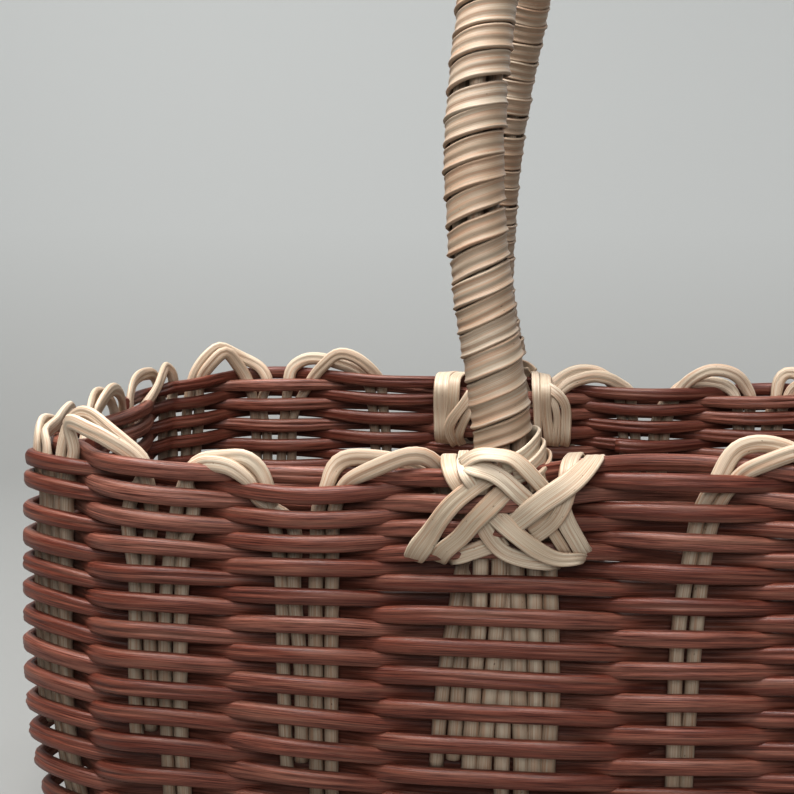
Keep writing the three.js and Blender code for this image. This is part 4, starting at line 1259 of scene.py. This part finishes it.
def foot_strand(index):
    """One of three weavers that go round each other: depth and height go round an ellipse with the turn."""
    turn = np.linspace(0, 1, 900, endpoint=False)
    angle = 2 * np.pi * (FOOT_TURNS * turn + index / 3)
    depth = FOOT_OUT + FOOT_DEPTH_WAVE * np.cos(angle)
    height = FOOT_LEVEL + FOOT_HEIGHT_WAVE * np.sin(angle)
    distance = turn * WHOLE_WAY
    profile = rod_profile(FOOT_ROD_DEPTH, FOOT_ROD_HEIGHT, sides=12, twist=20 * turn, square=0.9)
    tone = np.clip(0.5 + 0.3 * wander(turn, 31 + index, (2, 5, 9)), 0, 1)
    return strand(on_wall(distance, depth, height), wall_out(distance), profile, closed=True, tone=tone)


piece("foot_plait", [foot_strand(i) for i in range(3)], DARK, ["foot_ring"])
print("foot: 3 strands,", FOOT_TURNS, "turns")

# %% [markdown]
# Floor and background
#
# The basket stands in front of a plain pale wall. A floor and a wall that meet would draw a line behind it,
# so one sheet of paper lies on the floor and curves up behind, as in a photographer's studio. Its colour is
# darker low down and paler towards the top: painted shade, for the light that falls off towards the floor.

# %% Stage sweep, in metres
STAGE_REACH = 3.0
STAGE_TOP = 3.5
CURVE_FROM = 0.6
CURVE_R = 0.5


def stage_sweep():
    """A sheet over a path of (y, z): flat to the curve, a quarter circle, then straight up."""
    across = np.array([-STAGE_REACH, 0.0, STAGE_REACH])
    arc = np.linspace(0, np.pi / 2, 24)
    y = np.concatenate([[-STAGE_REACH, CURVE_FROM], CURVE_FROM + CURVE_R * np.sin(arc[1:])])
    z = np.concatenate([[0.0, 0.0], CURVE_R * (1 - np.cos(arc[1:]))])
    y = np.append(y, CURVE_FROM + CURVE_R)
    z = np.append(z, STAGE_TOP)
    grid = np.stack(np.broadcast_arrays(across[None], y[:, None], z[:, None]), -1)
    n, m = grid.shape[:2]
    i, j = np.meshgrid(np.arange(n - 1), np.arange(m - 1), indexing="ij")
    a = (i * m + j).ravel()
    quads = np.stack([a, a + 1, a + m + 1, a + m], -1)
    mesh = write_mesh("stage", grid.reshape(-1, 3), quads, np.zeros((0, 3), int))
    mesh.update(calc_edges=True)
    made = bpy.data.objects.new("stage", mesh)
    bpy.context.scene.collection.objects.link(made)
    material = bpy.data.materials.new("stage_paper")
    material.use_nodes = True
    tree = material.node_tree
    place = add_node(tree, "ShaderNodeTexCoord").outputs["Object"]
    level = add_node(tree, "ShaderNodeSeparateXYZ", {"Vector": place}).outputs["Z"]
    # painted shade: the paper's colour darkens towards the floor, in place of light that falls off
    paper_with_painted_light = ramp(tree, level, [(0.0, "#898987"), (0.2, "#9b9c9b"), (1.0, "#b6b8b7")])
    shader = tree.nodes["Principled BSDF"]
    tree.links.new(paper_with_painted_light, shader.inputs["Base Color"])
    shader.inputs["Roughness"].default_value = 0.9
    mesh.materials.append(material)


stage_sweep()
print("stage:", STAGE_TOP, "m high")

# %% [markdown]
# Camera
#
# A camera placed by eye would leave small errors in each row. This one was worked out from the places of
# the stake groups in the photograph: the sight lines to them meet at one place, at one tilt and one turn,
# and with one focal length, given in pixels of the photograph's width.

# %% Place the camera
FOCAL_PX = 1400.0
VIEW_PX = 794.0
SENSOR_MM = 36.0
TURN_LEFT = math.radians(5.71)
TILT_DOWN = math.radians(8.44)
CAMERA_AT = (11.46, -538.04, RIM + 85.9)
camera_data = bpy.data.cameras.new("camera")
camera_data.sensor_width = SENSOR_MM
camera_data.lens = SENSOR_MM * FOCAL_PX / VIEW_PX
camera_data.clip_start = 0.01
camera = bpy.data.objects.new("camera", camera_data)
camera.location = [v * MM for v in CAMERA_AT]
camera.rotation_euler = (math.pi / 2 - TILT_DOWN, 0, TURN_LEFT)
bpy.context.scene.collection.objects.link(camera)
bpy.context.scene.camera = camera
print("lens:", round(camera_data.lens, 1), "mm")

# %% [markdown]
# Light
#
# The photograph has soft daylight from above, with weak shadows and no bright spots. A sky texture would
# tint it, so four large round lamps are used: one above, one for the background, a weaker one in front,
# and a faint one behind, which opens the shadows. The world adds a little even light. A gamma below 1
# deepens the middle tones, as the photograph has them.

# %% Lamps, world and view
def soft_box(name, place, target, size, power):
    """A round area lamp of a size in metres and a power in watts, which looks at a target."""
    data = bpy.data.lights.new(name, "AREA")
    data.shape = "DISK"
    data.size = size
    data.energy = power
    made = bpy.data.objects.new(name, data)
    made.location = place
    direction = Vector(target) - Vector(place)
    made.rotation_euler = direction.to_track_quat("-Z", "Y").to_euler()
    bpy.context.scene.collection.objects.link(made)


soft_box("top_light", (-0.3, -0.3, 1.5), (0, 0, 0.15), size=1.0, power=36)
soft_box("wall_light", (-0.9, 0.2, 1.3), (-0.3, 1.1, 0.9), size=0.8, power=8.4)
soft_box("front_light", (0.1, -1.5, 1.1), (0, 0, 0.15), size=1.2, power=15.5)
soft_box("back_light", (0.8, 0.8, 0.7), (0, 0.05, 0.15), size=0.7, power=3.2)
world = bpy.data.worlds.new("studio")
world.use_nodes = True
sky = world.node_tree.nodes["Background"]
sky.inputs["Color"].default_value = linear("#e6e8ea")
sky.inputs["Strength"].default_value = 0.2
bpy.context.scene.world = world
view = bpy.context.scene.view_settings
view.view_transform = "Standard"
view.gamma = 0.8
view.exposure = 0.16
print("lamps: 4")
